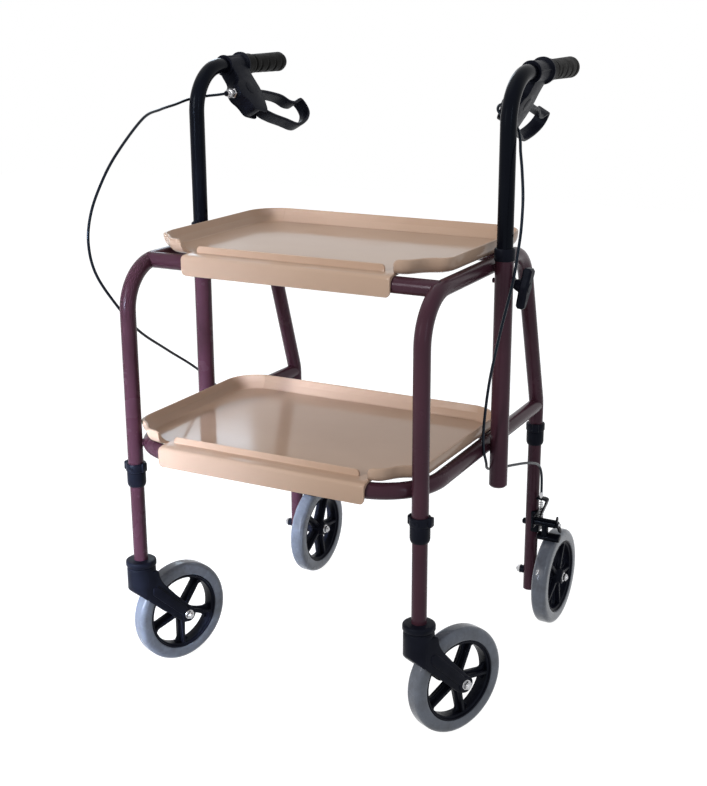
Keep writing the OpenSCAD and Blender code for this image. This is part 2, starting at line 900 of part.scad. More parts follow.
module tyre() {
    out = wheel_r;
    in = hub_d / 2;
    half = tyre_w / 2;
    color(grey)
        rotate([0, 90, 0])
            rotate_extrude()
                polygon(concat([for (p = tyre_foot) [in + p[0], p[1] - half]],
                    [for (p = tyre_shoulder) [out - p[0], p[1] - half]],
                    [for (k = [3:-1:0]) [out - tyre_shoulder[k][0], half - tyre_shoulder[k][1]]],
                    [for (k = [1, 0]) [in + tyre_foot[k][0], half - tyre_foot[k][1]]]));
}

module front_wheel_place(s, turn) {
    at_castor(s, turn)
        translate([0, castor_trail, wheel_r])
            children();
}

module rear_wheel_place(s) {
    at_rear(s)
        translate([rear_wheel_x, 0, wheel_r])
            children();
}

// rear legs and brakes
module rear_leg(s) {
    color(paint)
        at_rear(s)
            difference() {
                translate([0, 0, rear_leg_bottom])
                    cylinder(d = leg_d, h = rear_leg_top - rear_leg_bottom);
                translate([0, 0, rear_leg_bottom + 3])
                    cylinder(d = leg_d - 3, h = rear_leg_top);
                along_x(-leg_d, 0, wheel_r, axle_d, 2 * leg_d);
                along_x(-leg_d, 0, brake_bolt_z, 6, 2 * leg_d);
            }
}

module rear_axle(s) {
    inner = leg_d / 2 + 4;
    outer = rear_wheel_x + hub_half + part_gap;
    color(steel)
        at_rear(s)
            translate([0, 0, wheel_r])
                difference() {
                    union() {
                        bolt(-inner, outer);
                        along_x(-inner, 0, 0, 13, 6);
                        along_x(6, 0, 0, 14, rear_wheel_x - hub_half - part_gap - 6);
                    }
                    translate([0, 0, -40])
                        difference() {
                            cylinder(d = leg_d, h = 80);
                            along_x(-leg_d, 0, 40, axle_d, 2 * leg_d);
                        }
                }
}

module brake_bracket(s) {
    color(black)
        at_rear(s)
            union() {
                difference() {
                    union() {
                        for (block = [bracket_block, bracket_cheek, stop_foot, stop_post, stop_plate]) {
                            translate(block[0])
                                cube(block[1]);
                        }
                    }
                    translate([0, 0, 140])
                        cylinder(d = leg_d, h = 80);
                }
                along_x(-leg_d / 2 - 4.5, 0, brake_bolt_z, 10, 2.5);
                along_x(-leg_d / 2 - 2, 0, brake_bolt_z, 6, leg_d / 2 + 14);
                along_x(13, brake_pivot[0], brake_pivot[1], brake_pin_d, brake_pin_end - 9);
                along_x(brake_pin_end - 3, brake_pivot[0], brake_pivot[1], 11, 4);
                translate([brake_pin_end - 1.5, brake_pivot[0] - 2, brake_pivot[1]])
                    rotate([35, 0, 0])
                        cube([2.5, 4, 21]);
                translate([cable_x, cable_y, stop_z + stop_t])
                    cylinder(d = 7, h = ferrule_h);
            }
}

module brake_arm(s) {
    shoe_r = wheel_r + shoe_gap + shoe_t / 2;
    color(black)
        at_rear(s)
            difference() {
                union() {
                    along_x(15.6, brake_pivot[0], brake_pivot[1], 13, brake_pin_end - 19);
                    translate([shoe_x[0], -shoe_r * sin(shoe_angle), wheel_r + shoe_r * cos(shoe_angle)])
                        rotate([shoe_angle, 0, 0])
                            translate([0, -7, -shoe_t / 2])
                                cube([shoe_x[1] - shoe_x[0], 14, shoe_t]);
                    translate([28, brake_pivot[0] - 8, wheel_r + shoe_r * cos(shoe_angle)])
                        cube([9, 9, brake_pivot[1] - wheel_r - shoe_r * cos(shoe_angle)]);
                    translate([16, brake_pivot[0], brake_pivot[1] - 4])
                        cube([6.5, 16.5, 4]);
                    translate([cable_x, cable_y, brake_pivot[1] - 1])
                        cylinder(d = 1.6, h = stop_z - brake_pivot[1] - 1);
                }
                along_x(10, brake_pivot[0], brake_pivot[1], brake_pin_d + 2 * running, 60);
            }
}

// coil of the brake return spring, with its least gap between turns
spring_gap = (spring_top - spring_low) / spring_turns - spring_wire;
echo(spring_gap = spring_gap);

module brake_spring(s) {
    n = spring_turns * 8;
    spots = [for (k = [0:n]) [spring_r * cos(45 * k), spring_r * sin(45 * k),
        spring_low + (spring_top - spring_low) * k / n]];
    color(steel)
        at_rear(s)
            translate([cable_x, cable_y, 0])
                skin(spots, spring_wire, 6);
}

side_frame(true);  // side_frame_left
side_frame(false);  // side_frame_right
upper_front_crossbar();
upper_rear_crossbar();
lower_shelf_frame();
lower_rear_crossbar();
handle_post(true);  // handle_post_left
handle_post(false);  // handle_post_right
post_bush(true);  // post_bush_left
post_bush(false);  // post_bush_right
front_collar(-1);  // front_collar_left
front_collar(1);  // front_collar_right
rear_collar(-1);  // rear_collar_left
rear_collar(1);  // rear_collar_right
cable(cable_left_route);  // brake_cable_left
cable(cable_right_route);  // brake_cable_right
upper_tray();
lower_tray();
handle_tube(true);  // handle_tube_left
handle_tube(false);  // handle_tube_right
grip(true);  // grip_left
grip(false);  // grip_right
brake_housing(true);  // brake_housing_left
brake_housing(false);  // brake_housing_right
lever_pivot(true);  // lever_pivot_left
lever_pivot(false);  // lever_pivot_right
cable_adjuster(true);  // cable_adjuster_left
cable_adjuster(false);  // cable_adjuster_right
brake_lever(true);  // brake_lever_left
brake_lever(false);  // brake_lever_right
clamp_knob(true);  // clamp_knob_left
clamp_knob(false);  // clamp_knob_right
front_leg(-1);  // front_leg_left
front_leg(1);  // front_leg_right
castor_cap(-1);  // castor_cap_left
castor_cap(1);  // castor_cap_right
castor_fork(-1, castor_turn_left);  // castor_fork_left
castor_fork(1, castor_turn_right);  // castor_fork_right
front_axle(-1, castor_turn_left);  // front_axle_left
front_axle(1, castor_turn_right);  // front_axle_right
front_wheel_place(-1, castor_turn_left) hub();  // front_hub_left
front_wheel_place(1, castor_turn_right) hub();  // front_hub_right
front_wheel_place(-1, castor_turn_left) tyre();  // front_tyre_left
front_wheel_place(1, castor_turn_right) tyre();  // front_tyre_right
rear_leg(-1);  // rear_leg_left
rear_leg(1);  // rear_leg_right
rear_axle(-1);  // rear_axle_left
rear_axle(1);  // rear_axle_right
rear_wheel_place(-1) hub();  // rear_hub_left
rear_wheel_place(1) hub();  // rear_hub_right
rear_wheel_place(-1) tyre();  // rear_tyre_left
rear_wheel_place(1) tyre();  // rear_tyre_right
brake_bracket(-1);  // brake_bracket_left
brake_bracket(1);  // brake_bracket_right
brake_arm(-1);  // brake_arm_left
brake_arm(1);  // brake_arm_right
brake_spring(-1);  // brake_spring_left
brake_spring(1);  // brake_spring_right
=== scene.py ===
import json
import math
import bpy
import numpy as np
from mathutils import Matrix


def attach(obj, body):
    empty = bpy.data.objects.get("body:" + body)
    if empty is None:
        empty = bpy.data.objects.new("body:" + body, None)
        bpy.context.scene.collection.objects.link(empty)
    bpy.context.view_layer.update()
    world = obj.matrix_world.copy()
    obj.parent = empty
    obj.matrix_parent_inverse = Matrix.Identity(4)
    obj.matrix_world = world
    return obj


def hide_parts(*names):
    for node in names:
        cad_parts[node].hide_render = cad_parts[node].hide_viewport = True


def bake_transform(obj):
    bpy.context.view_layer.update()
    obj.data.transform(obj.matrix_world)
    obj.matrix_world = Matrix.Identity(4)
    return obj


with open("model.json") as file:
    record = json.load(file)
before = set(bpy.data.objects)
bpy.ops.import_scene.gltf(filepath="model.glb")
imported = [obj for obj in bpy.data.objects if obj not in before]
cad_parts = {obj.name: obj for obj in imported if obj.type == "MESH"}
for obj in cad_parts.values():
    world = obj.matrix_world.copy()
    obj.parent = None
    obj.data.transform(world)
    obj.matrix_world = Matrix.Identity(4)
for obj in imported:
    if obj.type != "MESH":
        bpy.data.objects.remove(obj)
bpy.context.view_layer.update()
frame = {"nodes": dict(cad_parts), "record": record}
nodes = frame["nodes"]
print("frame loaded:", len(nodes), "nodes")

# where the legs, posts and bars stand, in mm; y counts back from the front legs
lay = {"frontY": -238.05, "frontX": 222.0, "rearX": 215.0, "wheelBase": 433.0, "postX": 242.576,
       "postY": 212.0, "postTop": 621.0, "topRail": 605.0, "shelf": 352.0, "crossY": 53.0,
       "shelfBarY": 18.0, "handleZ": 856.0, "roll": 30.0, "wheelR": 75.0,
       "trail": 63.0, "rearOut": 39.6, "turnRight": 25.0, "turnLeft": 20.0, "knobZ": 588.0}
sides = {"left": -1, "right": 1}


def toRow(points):  # mm behind the front legs to metres in the row frame
    return (np.asarray(points, float) + (0, lay["frontY"], 0)) / 1000


def asIs(p):
    return p


def atUnit(s):  # brake unit: rolled about the grip, mirrored for the left hand
    c, k = math.cos(math.radians(lay["roll"])), math.sin(math.radians(lay["roll"]))
    return lambda p: np.stack([s * (lay["postX"] + p[:, 0] * c + p[:, 2] * k), lay["postY"] + p[:, 1],
                               lay["handleZ"] - p[:, 0] * k + p[:, 2] * c], 1)


def atPost(s):
    return lambda p: np.stack([s * (lay["postX"] + p[:, 0]), lay["postY"] + p[:, 1], p[:, 2]], 1)


def atFront(s):
    return lambda p: p + (s * lay["frontX"], 0, 0)


def atCastor(s):
    a = math.radians(lay["turnRight"] if s > 0 else lay["turnLeft"])
    return lambda p: np.stack([s * lay["frontX"] + p[:, 0] * math.cos(a) + p[:, 1] * math.sin(a),
                               p[:, 1] * math.cos(a) - p[:, 0] * math.sin(a), p[:, 2]], 1)


def atRear(s):
    return lambda p: p + (s * lay["rearX"], lay["wheelBase"], 0)


# camera at the photograph's angle: turned about Z, tipped down, with a touch of roll
camDims = {"place": (0.87492, -1.64249, 0.94476), "turn": 28.03, "tip": 16.53, "roll": -0.22, "lens": 60.186}


def makeCamera(dims):
    a, e, r = (math.radians(dims[k]) for k in ("turn", "tip", "roll"))
    ahead = np.array([-math.sin(a) * math.cos(e), math.cos(a) * math.cos(e), -math.sin(e)])
    right = np.array([math.cos(a), math.sin(a), 0.0])
    up = np.cross(right, ahead)
    side = right * math.cos(r) + up * math.sin(r)
    top = up * math.cos(r) - right * math.sin(r)
    data = bpy.data.cameras.new("photoCamera")
    data.sensor_width, data.lens = 36.0, dims["lens"]
    data.clip_start, data.clip_end = 0.05, 50
    cam = bpy.data.objects.new("photoCamera", data)
    bpy.context.scene.collection.objects.link(cam)
    turn = np.eye(4)
    turn[:3, 0], turn[:3, 1], turn[:3, 2], turn[:3, 3] = side, top, -ahead, dims["place"]
    cam.matrix_world = Matrix(turn.tolist())
    bpy.context.scene.camera = cam


makeCamera(camDims)
print("camera set")


# finishes: patch noise shifts the colour, a second noise the roughness, a fine one gives the grain
def wire(tree, a, b):
    tree.links.new(a, b)


def noiseNode(tree, coords, scale, detail=3.0):
    node = tree.nodes.new("ShaderNodeTexNoise")
    node.inputs["Scale"].default_value, node.inputs["Detail"].default_value = scale, detail
    wire(tree, coords.outputs["Object"], node.inputs["Vector"])
    return node.outputs["Fac"]


def rangeNode(tree, value, low, high, fromLow=0.3, fromHigh=0.7):
    node = tree.nodes.new("ShaderNodeMapRange")
    for key, v in (("From Min", fromLow), ("From Max", fromHigh), ("To Min", low), ("To Max", high)):
        node.inputs[key].default_value = v
    wire(tree, value, node.inputs["Value"])
    return node.outputs["Result"]


def mixNode(tree, fac, a, b):
    node = tree.nodes.new("ShaderNodeMix")
    node.data_type = "RGBA"
    for socket, v in ((node.inputs[6], a), (node.inputs[7], b)):
        if isinstance(v, tuple):
            socket.default_value = (*v, 1)
        else:
            wire(tree, v, socket)
    wire(tree, fac, node.inputs[0])
    return node.outputs[2]


def makeFinish(name, dims):
    mat = bpy.data.materials.new(name)
    mat.use_nodes = True
    tree = mat.node_tree
    shader = tree.nodes["Principled BSDF"]
    coords = tree.nodes.new("ShaderNodeTexCoord")
    for key, v in dims.get("fixed", {}).items():
        shader.inputs[key].default_value = v
    patch = noiseNode(tree, coords, dims["patch"], 4.0)
    colour = mixNode(tree, rangeNode(tree, patch, 0.0, 1.0), dims["dark"], dims["light"])
    if "speck" in dims:  # a finer mottle over the patches
        fine = noiseNode(tree, coords, dims["speckScale"], 2.0)
        colour = mixNode(tree, rangeNode(tree, fine, 0.0, dims["speckShare"], 0.48, 0.72), colour,
                         dims["speck"])
    wire(tree, colour, shader.inputs["Base Color"])
    smear = noiseNode(tree, coords, dims["smear"], 3.0)
    wire(tree, rangeNode(tree, smear, *dims["rough"]), shader.inputs["Roughness"])
    bump = tree.nodes.new("ShaderNodeBump")
    bump.inputs["Strength"].default_value = dims["grainPull"]
    bump.inputs["Distance"].default_value = dims["grainDepth"]
    wire(tree, noiseNode(tree, coords, dims["grain"], 2.0), bump.inputs["Height"])
    wire(tree, bump.outputs["Normal"], shader.inputs["Normal"])
    return mat


finishDims = {
    "frame_paint": {"dark": (0.048, 0.0175, 0.0270), "light": (0.074, 0.0275, 0.0430), "patch": 9,
                    "smear": 30,
                    "rough": (0.20, 0.30), "grain": 700, "grainPull": 0.07, "grainDepth": 0.0003,
                    "fixed": {"Specular IOR Level": 0.14, "Specular Tint": (0.92, 0.88, 1.0, 1.0)}},
    "black_paint": {"dark": (0.0022, 0.0025, 0.0048), "light": (0.0046, 0.0054, 0.0100), "patch": 12,
                    "smear": 40,
                    "rough": (0.16, 0.26), "grain": 800, "grainPull": 0.06, "grainDepth": 0.0003,
                    "fixed": {"Specular IOR Level": 0.06, "Specular Tint": (0.72, 0.85, 1.0, 1.0)}},
    "black_plastic": {"dark": (0.0050, 0.0055, 0.0100), "light": (0.0105, 0.0115, 0.0195), "patch": 40,
                      "smear": 90,
                      "rough": (0.34, 0.48), "grain": 1500, "grainPull": 0.20, "grainDepth": 0.0003,
                      "fixed": {"Specular IOR Level": 0.06, "Specular Tint": (0.75, 0.86, 1.0, 1.0)}},
    "grip_rubber": {"dark": (0.0030, 0.0029, 0.0028), "light": (0.0072, 0.0069, 0.0064), "patch": 60,
                    "smear": 80,
                    "rough": (0.42, 0.58), "grain": 1800, "grainPull": 0.32, "grainDepth": 0.0003,
                    "fixed": {"Specular IOR Level": 0.05}},
    "cable_sheath": {"dark": (0.0024, 0.0030, 0.0060), "light": (0.0052, 0.0064, 0.0125), "patch": 30,
                     "smear": 90,
                     "rough": (0.20, 0.34), "grain": 1600, "grainPull": 0.10, "grainDepth": 0.0002,
                     "fixed": {"Specular IOR Level": 0.2, "Specular Tint": (0.55, 0.75, 1.0, 1.0)}},
    "bright_steel": {"dark": (0.36, 0.36, 0.37), "light": (0.56, 0.56, 0.58), "patch": 120, "smear": 200,
                     "rough": (0.14, 0.28), "grain": 1400, "grainPull": 0.06, "grainDepth": 0.0002,
                     "fixed": {"Metallic": 1.0}},
    "tray_plastic": {"dark": (0.560, 0.392, 0.290), "light": (0.604, 0.430, 0.322), "patch": 6, "smear": 14,
                     "rough": (0.08, 0.14), "grain": 420, "grainPull": 0.03, "grainDepth": 0.0005,
                     "fixed": {"Specular IOR Level": 0.08}},
    "tyre_grey": {"dark": (0.125, 0.138, 0.166), "light": (0.176, 0.198, 0.244), "patch": 45, "smear": 60,
                  "speck": (0.214, 0.240, 0.300), "speckScale": 150, "speckShare": 0.25,
                  "rough": (0.18, 0.32), "grain": 900, "grainPull": 0.06, "grainDepth": 0.0003,
                  "fixed": {"Specular IOR Level": 0.2, "Coat Weight": 0.2, "Coat Roughness": 0.08}},
}
finishes = {name: makeFinish(name, dims) for name, dims in finishDims.items()}
slotOf = {part["node"]: part["material_slot"] for part in frame["record"]["subparts"]}
for nodeName, nodeObject in nodes.items():
    for materialSlot in nodeObject.material_slots:
        materialSlot.material = finishes[slotOf[nodeName]]
print("finishes made:", len(finishes))


# a part is (points, quads, caps); each piece is a list of parts joined into one mesh
def gridPart(points, wrapRows=False, wrapCols=True, capped=True):
    # quads join each row of points to the next row and each column to the next column
    n, m = points.shape[:2]
    i = np.arange(n if wrapRows else n - 1)[:, None]
    j = np.arange(m if wrapCols else m - 1)[None, :]
    down, on = (i + 1) % n, (j + 1) % m
    quads = np.stack([i * m + j, i * m + on, down * m + on, down * m + j], -1).reshape(-1, 4)
    caps = [] if wrapRows or not capped else [list(range(m - 1, -1, -1)), list(range((n - 1) * m, n * m))]
    return points.reshape(-1, 3), quads, caps


def routeCurve(points, count, closed=False):
    # smooth curve through points: a cubic of the four neighbours of each stretch
    p = np.asarray(points, float)
    n = len(p)
    s = np.linspace(0, n if closed else n - 1, count, endpoint=not closed)
    i = np.floor(s).astype(int) if closed else np.minimum(np.floor(s).astype(int), n - 2)
    t = (s - i)[:, None]
    pick = (lambda k: p[k % n]) if closed else (lambda k: p[np.clip(k, 0, n - 1)])
    a, b, c, d = pick(i - 1), pick(i), pick(i + 1), pick(i + 2)
    return b + 0.5 * t * (c - a + t * (2 * a - 5 * b + 4 * c - d + t * (3 * (b - c) + d - a)))


def arcRoute(points, radii, steps=14):
    # straight legs joined by circular arcs: each arc swings from one leg's direction to the next
    p = np.asarray(points, float)
    unit = lambda v: v / np.linalg.norm(v)
    out = [p[:1]]
    for k, r in enumerate(radii, 1):
        a, b = unit(p[k] - p[k - 1]), unit(p[k + 1] - p[k])
        turn = math.acos(float(np.clip(a @ b, -1, 1)))
        inward = unit(b - (a @ b) * a)
        start = p[k] - a * r * math.tan(turn / 2)
        q = np.linspace(0, turn, steps)[:, None]
        out.append(start + inward * r * (1 - np.cos(q)) + a * r * np.sin(q))
    return np.concatenate(out + [p[-1:]])


def unitRows(v):
    return v / np.linalg.norm(v, axis=-1, keepdims=True)


def sweepPart(path, profile, side, closed=False):
    # profile carried along a path: its first axis stays as near to side as the path allows
    p = np.asarray(path, float)
    ahead = unitRows(np.roll(p, -1, 0) - np.roll(p, 1, 0) if closed else np.gradient(p, axis=0))
    across = unitRows(np.asarray(side, float) - (ahead @ np.asarray(side, float))[:, None] * ahead)
    third = np.cross(ahead, across)
    prof = np.broadcast_to(profile, (len(p), *np.shape(profile)[-2:]))
    points = p[:, None] + prof[..., :1] * across[:, None] + prof[..., 1:] * third[:, None]
    return gridPart(points, wrapRows=closed)


def circle(r, count=32):
    a = np.linspace(0, 2 * math.pi, count, endpoint=False)
    return np.stack([r * np.cos(a), r * np.sin(a)], 1)


def softCorners(points, reach, steps=6):
    # closed outline whose corners are drawn as quadratic curves that start reach away from each corner
    p = np.asarray(points, float)
    before, after = np.roll(p, 1, 0) - p, np.roll(p, -1, 0) - p
    cut = np.broadcast_to(np.asarray(reach, float), (len(p),))[:, None]
    trim = lambda v: v * np.minimum(cut / np.linalg.norm(v, axis=1, keepdims=True), 0.48)
    a, b = p + trim(before), p + trim(after)
    t = np.linspace(0, 1, steps)[None, :, None]
    return ((1 - t) ** 2 * a[:, None] + 2 * t * (1 - t) * p[:, None] + t ** 2 * b[:, None]).reshape(-1, 2)


def outlineNormals(outline):
    t = unitRows(np.roll(outline, -1, 0) - np.roll(outline, 1, 0))
    x, y = outline[:, 0], outline[:, 1]
    way = np.sign(np.sum(x * np.roll(y, -1) - y * np.roll(x, -1)))
    return way * np.stack([t[:, 1], -t[:, 0]], 1)


def platePart(outline, low, high, edge=1.0, steps=4):
    # outline in Y and Z laid across X from low to high; its edges are rounded by a quarter circle
    q = np.linspace(0, math.pi / 2, steps)
    inset = np.concatenate([edge * (1 - np.sin(q)), edge * (1 - np.sin(q[::-1]))])
    x = np.concatenate([low + edge * (1 - np.cos(q)), high - edge * (1 - np.cos(q[::-1]))])
    flat = outline[None] - outlineNormals(outline)[None] * inset[:, None, None]
    points = np.concatenate([np.broadcast_to(x[:, None, None], (*flat.shape[:2], 1)), flat], -1)
    return gridPart(points)


def slabPart(outline, low, high, edge=0.5):
    # flat outline in X and Y raised from low to high, with its edges eased
    inset, z = np.array([edge, 0, 0, edge]), np.array([low, low + edge, high - edge, high])
    flat = outline[None] - outlineNormals(outline)[None] * inset[:, None, None]
    return gridPart(np.concatenate([flat, np.broadcast_to(z[:, None, None], (*flat.shape[:2], 1))], -1))


def lathePart(profile, axis="x", centre=(0, 0, 0), count=48, closed=False, swell=None):
    # profile of (radius, distance along the axis) turned about the axis; swell scales the radius by angle
    pr = np.asarray(profile, float)
    a = np.linspace(0, 2 * math.pi, count, endpoint=False)
    r = pr[:, :1] * (1 if swell is None else swell(a)[None])
    h = np.broadcast_to(pr[:, 1:], r.shape if swell is not None else (len(pr), count))
    u, v = r * np.cos(a), r * np.sin(a)
    stack = {"x": (h, u, v), "y": (u, h, v), "z": (u, v, h)}[axis]
    return gridPart(np.stack(stack, -1) + np.asarray(centre, float), wrapRows=closed)


def boxPart(low, high, edge=1.0):
    (x0, y0, z0), (x1, y1, z1) = low, high
    return platePart(softCorners([(y0, z0), (y1, z0), (y1, z1), (y0, z1)], edge * 1.5, 4), x0, x1, edge, 3)


def moved(part, change):
    return (change(part[0]), *part[1:])


def turned(axis, degrees, centre=(0, 0, 0)):
    a, o = math.radians(degrees), np.asarray(centre, float)
    c, k = math.cos(a), math.sin(a)
    turn = {"x": [[1, 0, 0], [0, c, -k], [0, k, c]], "y": [[c, 0, k], [0, 1, 0], [-k, 0, c]],
            "z": [[c, -k, 0], [k, c, 0], [0, 0, 1]]}[axis]
    return lambda p: (p - o) @ np.array(turn).T + o


def hexSwell(a):  # six flats: the radius grows towards each corner
    return 1 / np.cos((a + math.pi / 6) % (math.pi / 3) - math.pi / 6)


def facesOut(points, quads, caps):
    # turns a part's faces round when the volume they enclose comes out negative
    tris = [quads[:, [0, 1, 2]], quads[:, [0, 2, 3]]]
    tris += [np.stack([np.full(len(c) - 2, c[0]), c[1:-1], c[2:]], 1) for c in map(np.array, caps)]
    a, b, c = (points[np.concatenate(tris)[:, k]] - points.mean(0) for k in range(3))
    if np.sum(a * np.cross(b, c)) < 0:
        return quads[:, ::-1], [cap[::-1] for cap in caps]
    return quads, caps


def makeMesh(name, parts, place, finish, sharp=38.0):
    points, faces, base = [], [], 0
    for part in parts:
        p = place(part[0])
        quads, caps = facesOut(p, part[1], part[2])
        points.append(p)
        faces += (quads + base).tolist() + [[v + base for v in cap] for cap in caps]
        base += len(p)
    mesh = bpy.data.meshes.new(name)
    mesh.from_pydata(toRow(np.concatenate(points)).tolist(), [], faces)
    mesh.polygons.foreach_set("use_smooth", np.ones(len(mesh.polygons), bool))
    mesh.set_sharp_from_angle(angle=math.radians(sharp))
    mesh.materials.append(finishes[finish])
    piece = bpy.data.objects.new(name, mesh)
    bpy.context.scene.collection.objects.link(piece)
    return piece


def makePiece(name, parts, place, finish, body, stands=(), sharp=38.0):
    piece = makeMesh(name, parts, place, finish, sharp)
    if stands:
        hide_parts(*stands)
    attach(piece, body)
    return piece


# brake cables: a round sheath along the routes of the solids, in two runs that meet on the frame
cableDims = {"thick": 4.0, "steps": 12, "seam": (0.62, -0.74, 0.26), "handleRun": 0.40,
             "legRun": (0.005, 0.14), "leaveZ": 817.462, "leaveY": 253.6, "leaveX": 220.326,
             "rightTop": [(217.5, 239, 814.5), (221.5, 230.5, 807.5), (235, 230.5, 798), (249, 228, 787.5),
                          (256, 220, 775), (261, 210, 760), (268, 199, 738), (275, 187, 705), (277, 180, 672),
                          (276, 176, 645), (271, 170, 595), (257, 168, 530), (243, 170, 462), (235, 174, 402),
                          (232, 180, 364)],
             "rightLow": [(232, 180, 364), (232.2, 191, 337), (226.6, 212, 320), (228, 250, 309),
                          (231, 300, 298), (235, 350, 286), (236, 392, 270), (234.5, 414, 248),
                          (234, 419, 217)],
             "leftTop": [(-226, 243, 816.5), (-239, 235, 815), (-251, 228, 812.5), (-257.5, 211, 810.5),
                         (-258, 180.5, 805.7), (-254, 138, 801.5), (-247, 88, 793), (-243, 20, 751),
                         (-248, -10, 714), (-251, -31, 676), (-251, -39, 637), (-249, -29, 595),
                         (-247, 8, 546), (-249, 57, 499), (-256, 133, 452), (-264, 220, 400)],
             "leftLow": [(-264, 220, 400), (-259, 300, 335), (-232, 362, 296), (-206, 402, 270),
                         (-196, 419, 248), (-196, 419, 217)]}


def makeCable(side, s):
    top = [(s * cableDims["leaveX"], cableDims["leaveY"], cableDims["leaveZ"])] + cableDims[side + "Top"]
    low = cableDims[side + "Low"]
    # one curve, cut where the runs meet
    whole = routeCurve(top + low[1:], cableDims["steps"] * (len(top) + len(low) - 2) + 1)
    cut = cableDims["steps"] * (len(top) - 1)
    runs = {"Upper": whole[:cut + 1], "Lower": whole[cut:][::-1]}
    for word, path in runs.items():
        part = sweepPart(path, circle(cableDims["thick"] / 2, 14), cableDims["seam"])
        piece = makeMesh(side + "Cable" + word, [part], asIs, "cable_sheath")
        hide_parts("brake_cable_" + side)
        if word == "Upper":
            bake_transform(piece)
        else:
            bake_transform(piece)


for side, s in sides.items():
    makeCable(side, s)
print("cables made")


# trays: an upright wall with a round foot on a flat floor, a ridge that hooks over the bar and a lip
trayDims = {"rim": {1: [(160, -7), (166, -7), (172.5, -5.2), (179.5, -0.5), (185, 6.5), (190, 14.5),
                        (196, 20.8), (203, 24.8), (211, 28.2), (217, 33.5), (220, 42), (221, 56), (221, 100),
                        (221, 180), (221, 235)],
                    -1: [(161, -8), (168, -7.5), (175, -6.4), (181, -4.8), (186.5, -0.5), (191, 5.5),
                         (196, 11.5), (202, 16.5), (210, 22), (216.5, 29), (220, 40), (221, 56), (221, 100),
                         (221, 180), (221, 235)]},
            "foot": {1: [(159, 10), (164, 10.5), (169, 12.5), (174, 17.5), (178.5, 24), (184, 30.5),
                         (190, 35.5), (197, 39.5), (203.5, 44), (208, 51), (210, 60), (211, 72), (211, 104),
                         (211, 180), (211, 235)],
                     -1: [(160, 8), (167, 8.2), (173, 9.5), (179, 12), (184, 16), (188.5, 21), (193, 26.5),
                          (198, 32), (203.5, 38.5), (207.5, 46), (210, 56), (211, 70), (211, 104), (211, 180),
                          (211, 235)]},
            "corner": (171, 255), "rimR": 50.0, "footR": 40.0, "under": 11.4, "high": 22.0, "sheet": 2.5,
            "endRun": 7.5, "endFall": 6.0,
            "clipHalf": 158.0, "drop": 15.0, "lipEnds": (-147.5, 139.0), "lipHigh": 9.0, "flare": 3.5,
            "flareFade": 4.0, "floorReach": 1.27,
            "barR": 11.5, "shoulderR": 5.6, "shoulderAt": (-8.6, 7.4)}


def trayPath(points, r, dims):
    # each half runs through its points and round the back corner; the two meet as one smooth curve
    a = np.linspace(0, math.pi / 2, 7)
    x, y = dims["corner"]
    arc = np.stack([x + r * np.cos(a), y + r * np.sin(a)], 1)
    right, left = (np.concatenate([points[s], arc, [(90, y + r)]]) * (s, 1) for s in (1, -1))
    whole = np.concatenate([right, [(0, y + r)], left[::-1]])
    return routeCurve(whole, 10 * (len(whole) - 1) + 1)


def trayShell(dims):
    # wall section carried from one front end round to the other: each point lies between rim and foot curves
    rim, foot = trayPath(dims["rim"], dims["rimR"], dims), trayPath(dims["foot"], dims["footR"], dims)
    z0 = dims["under"]
    floor, top = z0 + dims["sheet"], z0 + dims["high"]
    section = np.array([(13.4, floor - 0.6), (13.0, floor), (12.0, floor + 0.2), (10.6, floor + 1.0),
                        (9.4, floor + 2.6), (6.6, top - 11.4), (5.6, top - 10.6), (4.9, top - 9.4),
                        (3.2, top - 1.4), (2.7, top - 0.4), (1.8, top), (0.8, top - 0.2), (0.2, top - 0.9),
                        (0.0, top - 2.0), (0.2, top - 6.0), (0.7, top - 10.0), (1.7, z0 + 8.2),
                        (3.4, z0 + 4.9), (5.9, z0 + 2.3), (8.8, z0 + 0.7), (11.4, z0 + 0.1), (12.4, z0),
                        (13.4, z0 + 0.6)])
    run = np.concatenate([[0], np.cumsum(np.linalg.norm(np.diff(rim, axis=0), axis=1))])
    near = np.clip(np.minimum(run, run[-1] - run) / dims["endRun"], 0, 1)[:, None]
    # round top corner at each end
    rise = 1 - dims["endFall"] / (top - floor) * (1 - np.sqrt(1 - (1 - near) ** 2))
    flat = rim[:, None] + (foot - rim)[:, None] * section[None, :, :1] / 10
    z = np.where(section[:, 1] > floor, floor + (section[:, 1] - floor) * rise, section[:, 1] + 0 * rise)
    fade = np.exp(-np.clip(z - floor, 0, None) / dims["flareFade"])
    flat[..., 0] -= np.sign(rim[:, :1]) * dims["flare"] * (1 - near) ** 2 * fade  # foot flares to the ridge
    c = dims["clipHalf"]
    base = np.concatenate([rim + (foot - rim) * dims["floorReach"],
                           [(0.5 - c, 8), (1 - c, 1.5), (c - 1, 1.5), (c - 0.5, 8)]])
    return [gridPart(np.concatenate([flat, z[..., None]], -1)), slabPart(base, z0, floor, 0.4)]


def roundEnds(low, high, r, count):
    # positions along a bar, closer over the last r of each end, and how far a round corner has fallen there
    q = r * (1 - np.cos(np.linspace(0, math.pi / 2, 10)))
    x = np.concatenate([low + q, np.linspace(low + r + 4, high - r - 4, count), (high - q)[::-1]])
    d = np.clip(np.minimum(x - low, high - x), 0, r)
    return x, r - np.sqrt(r ** 2 - (r - d) ** 2)


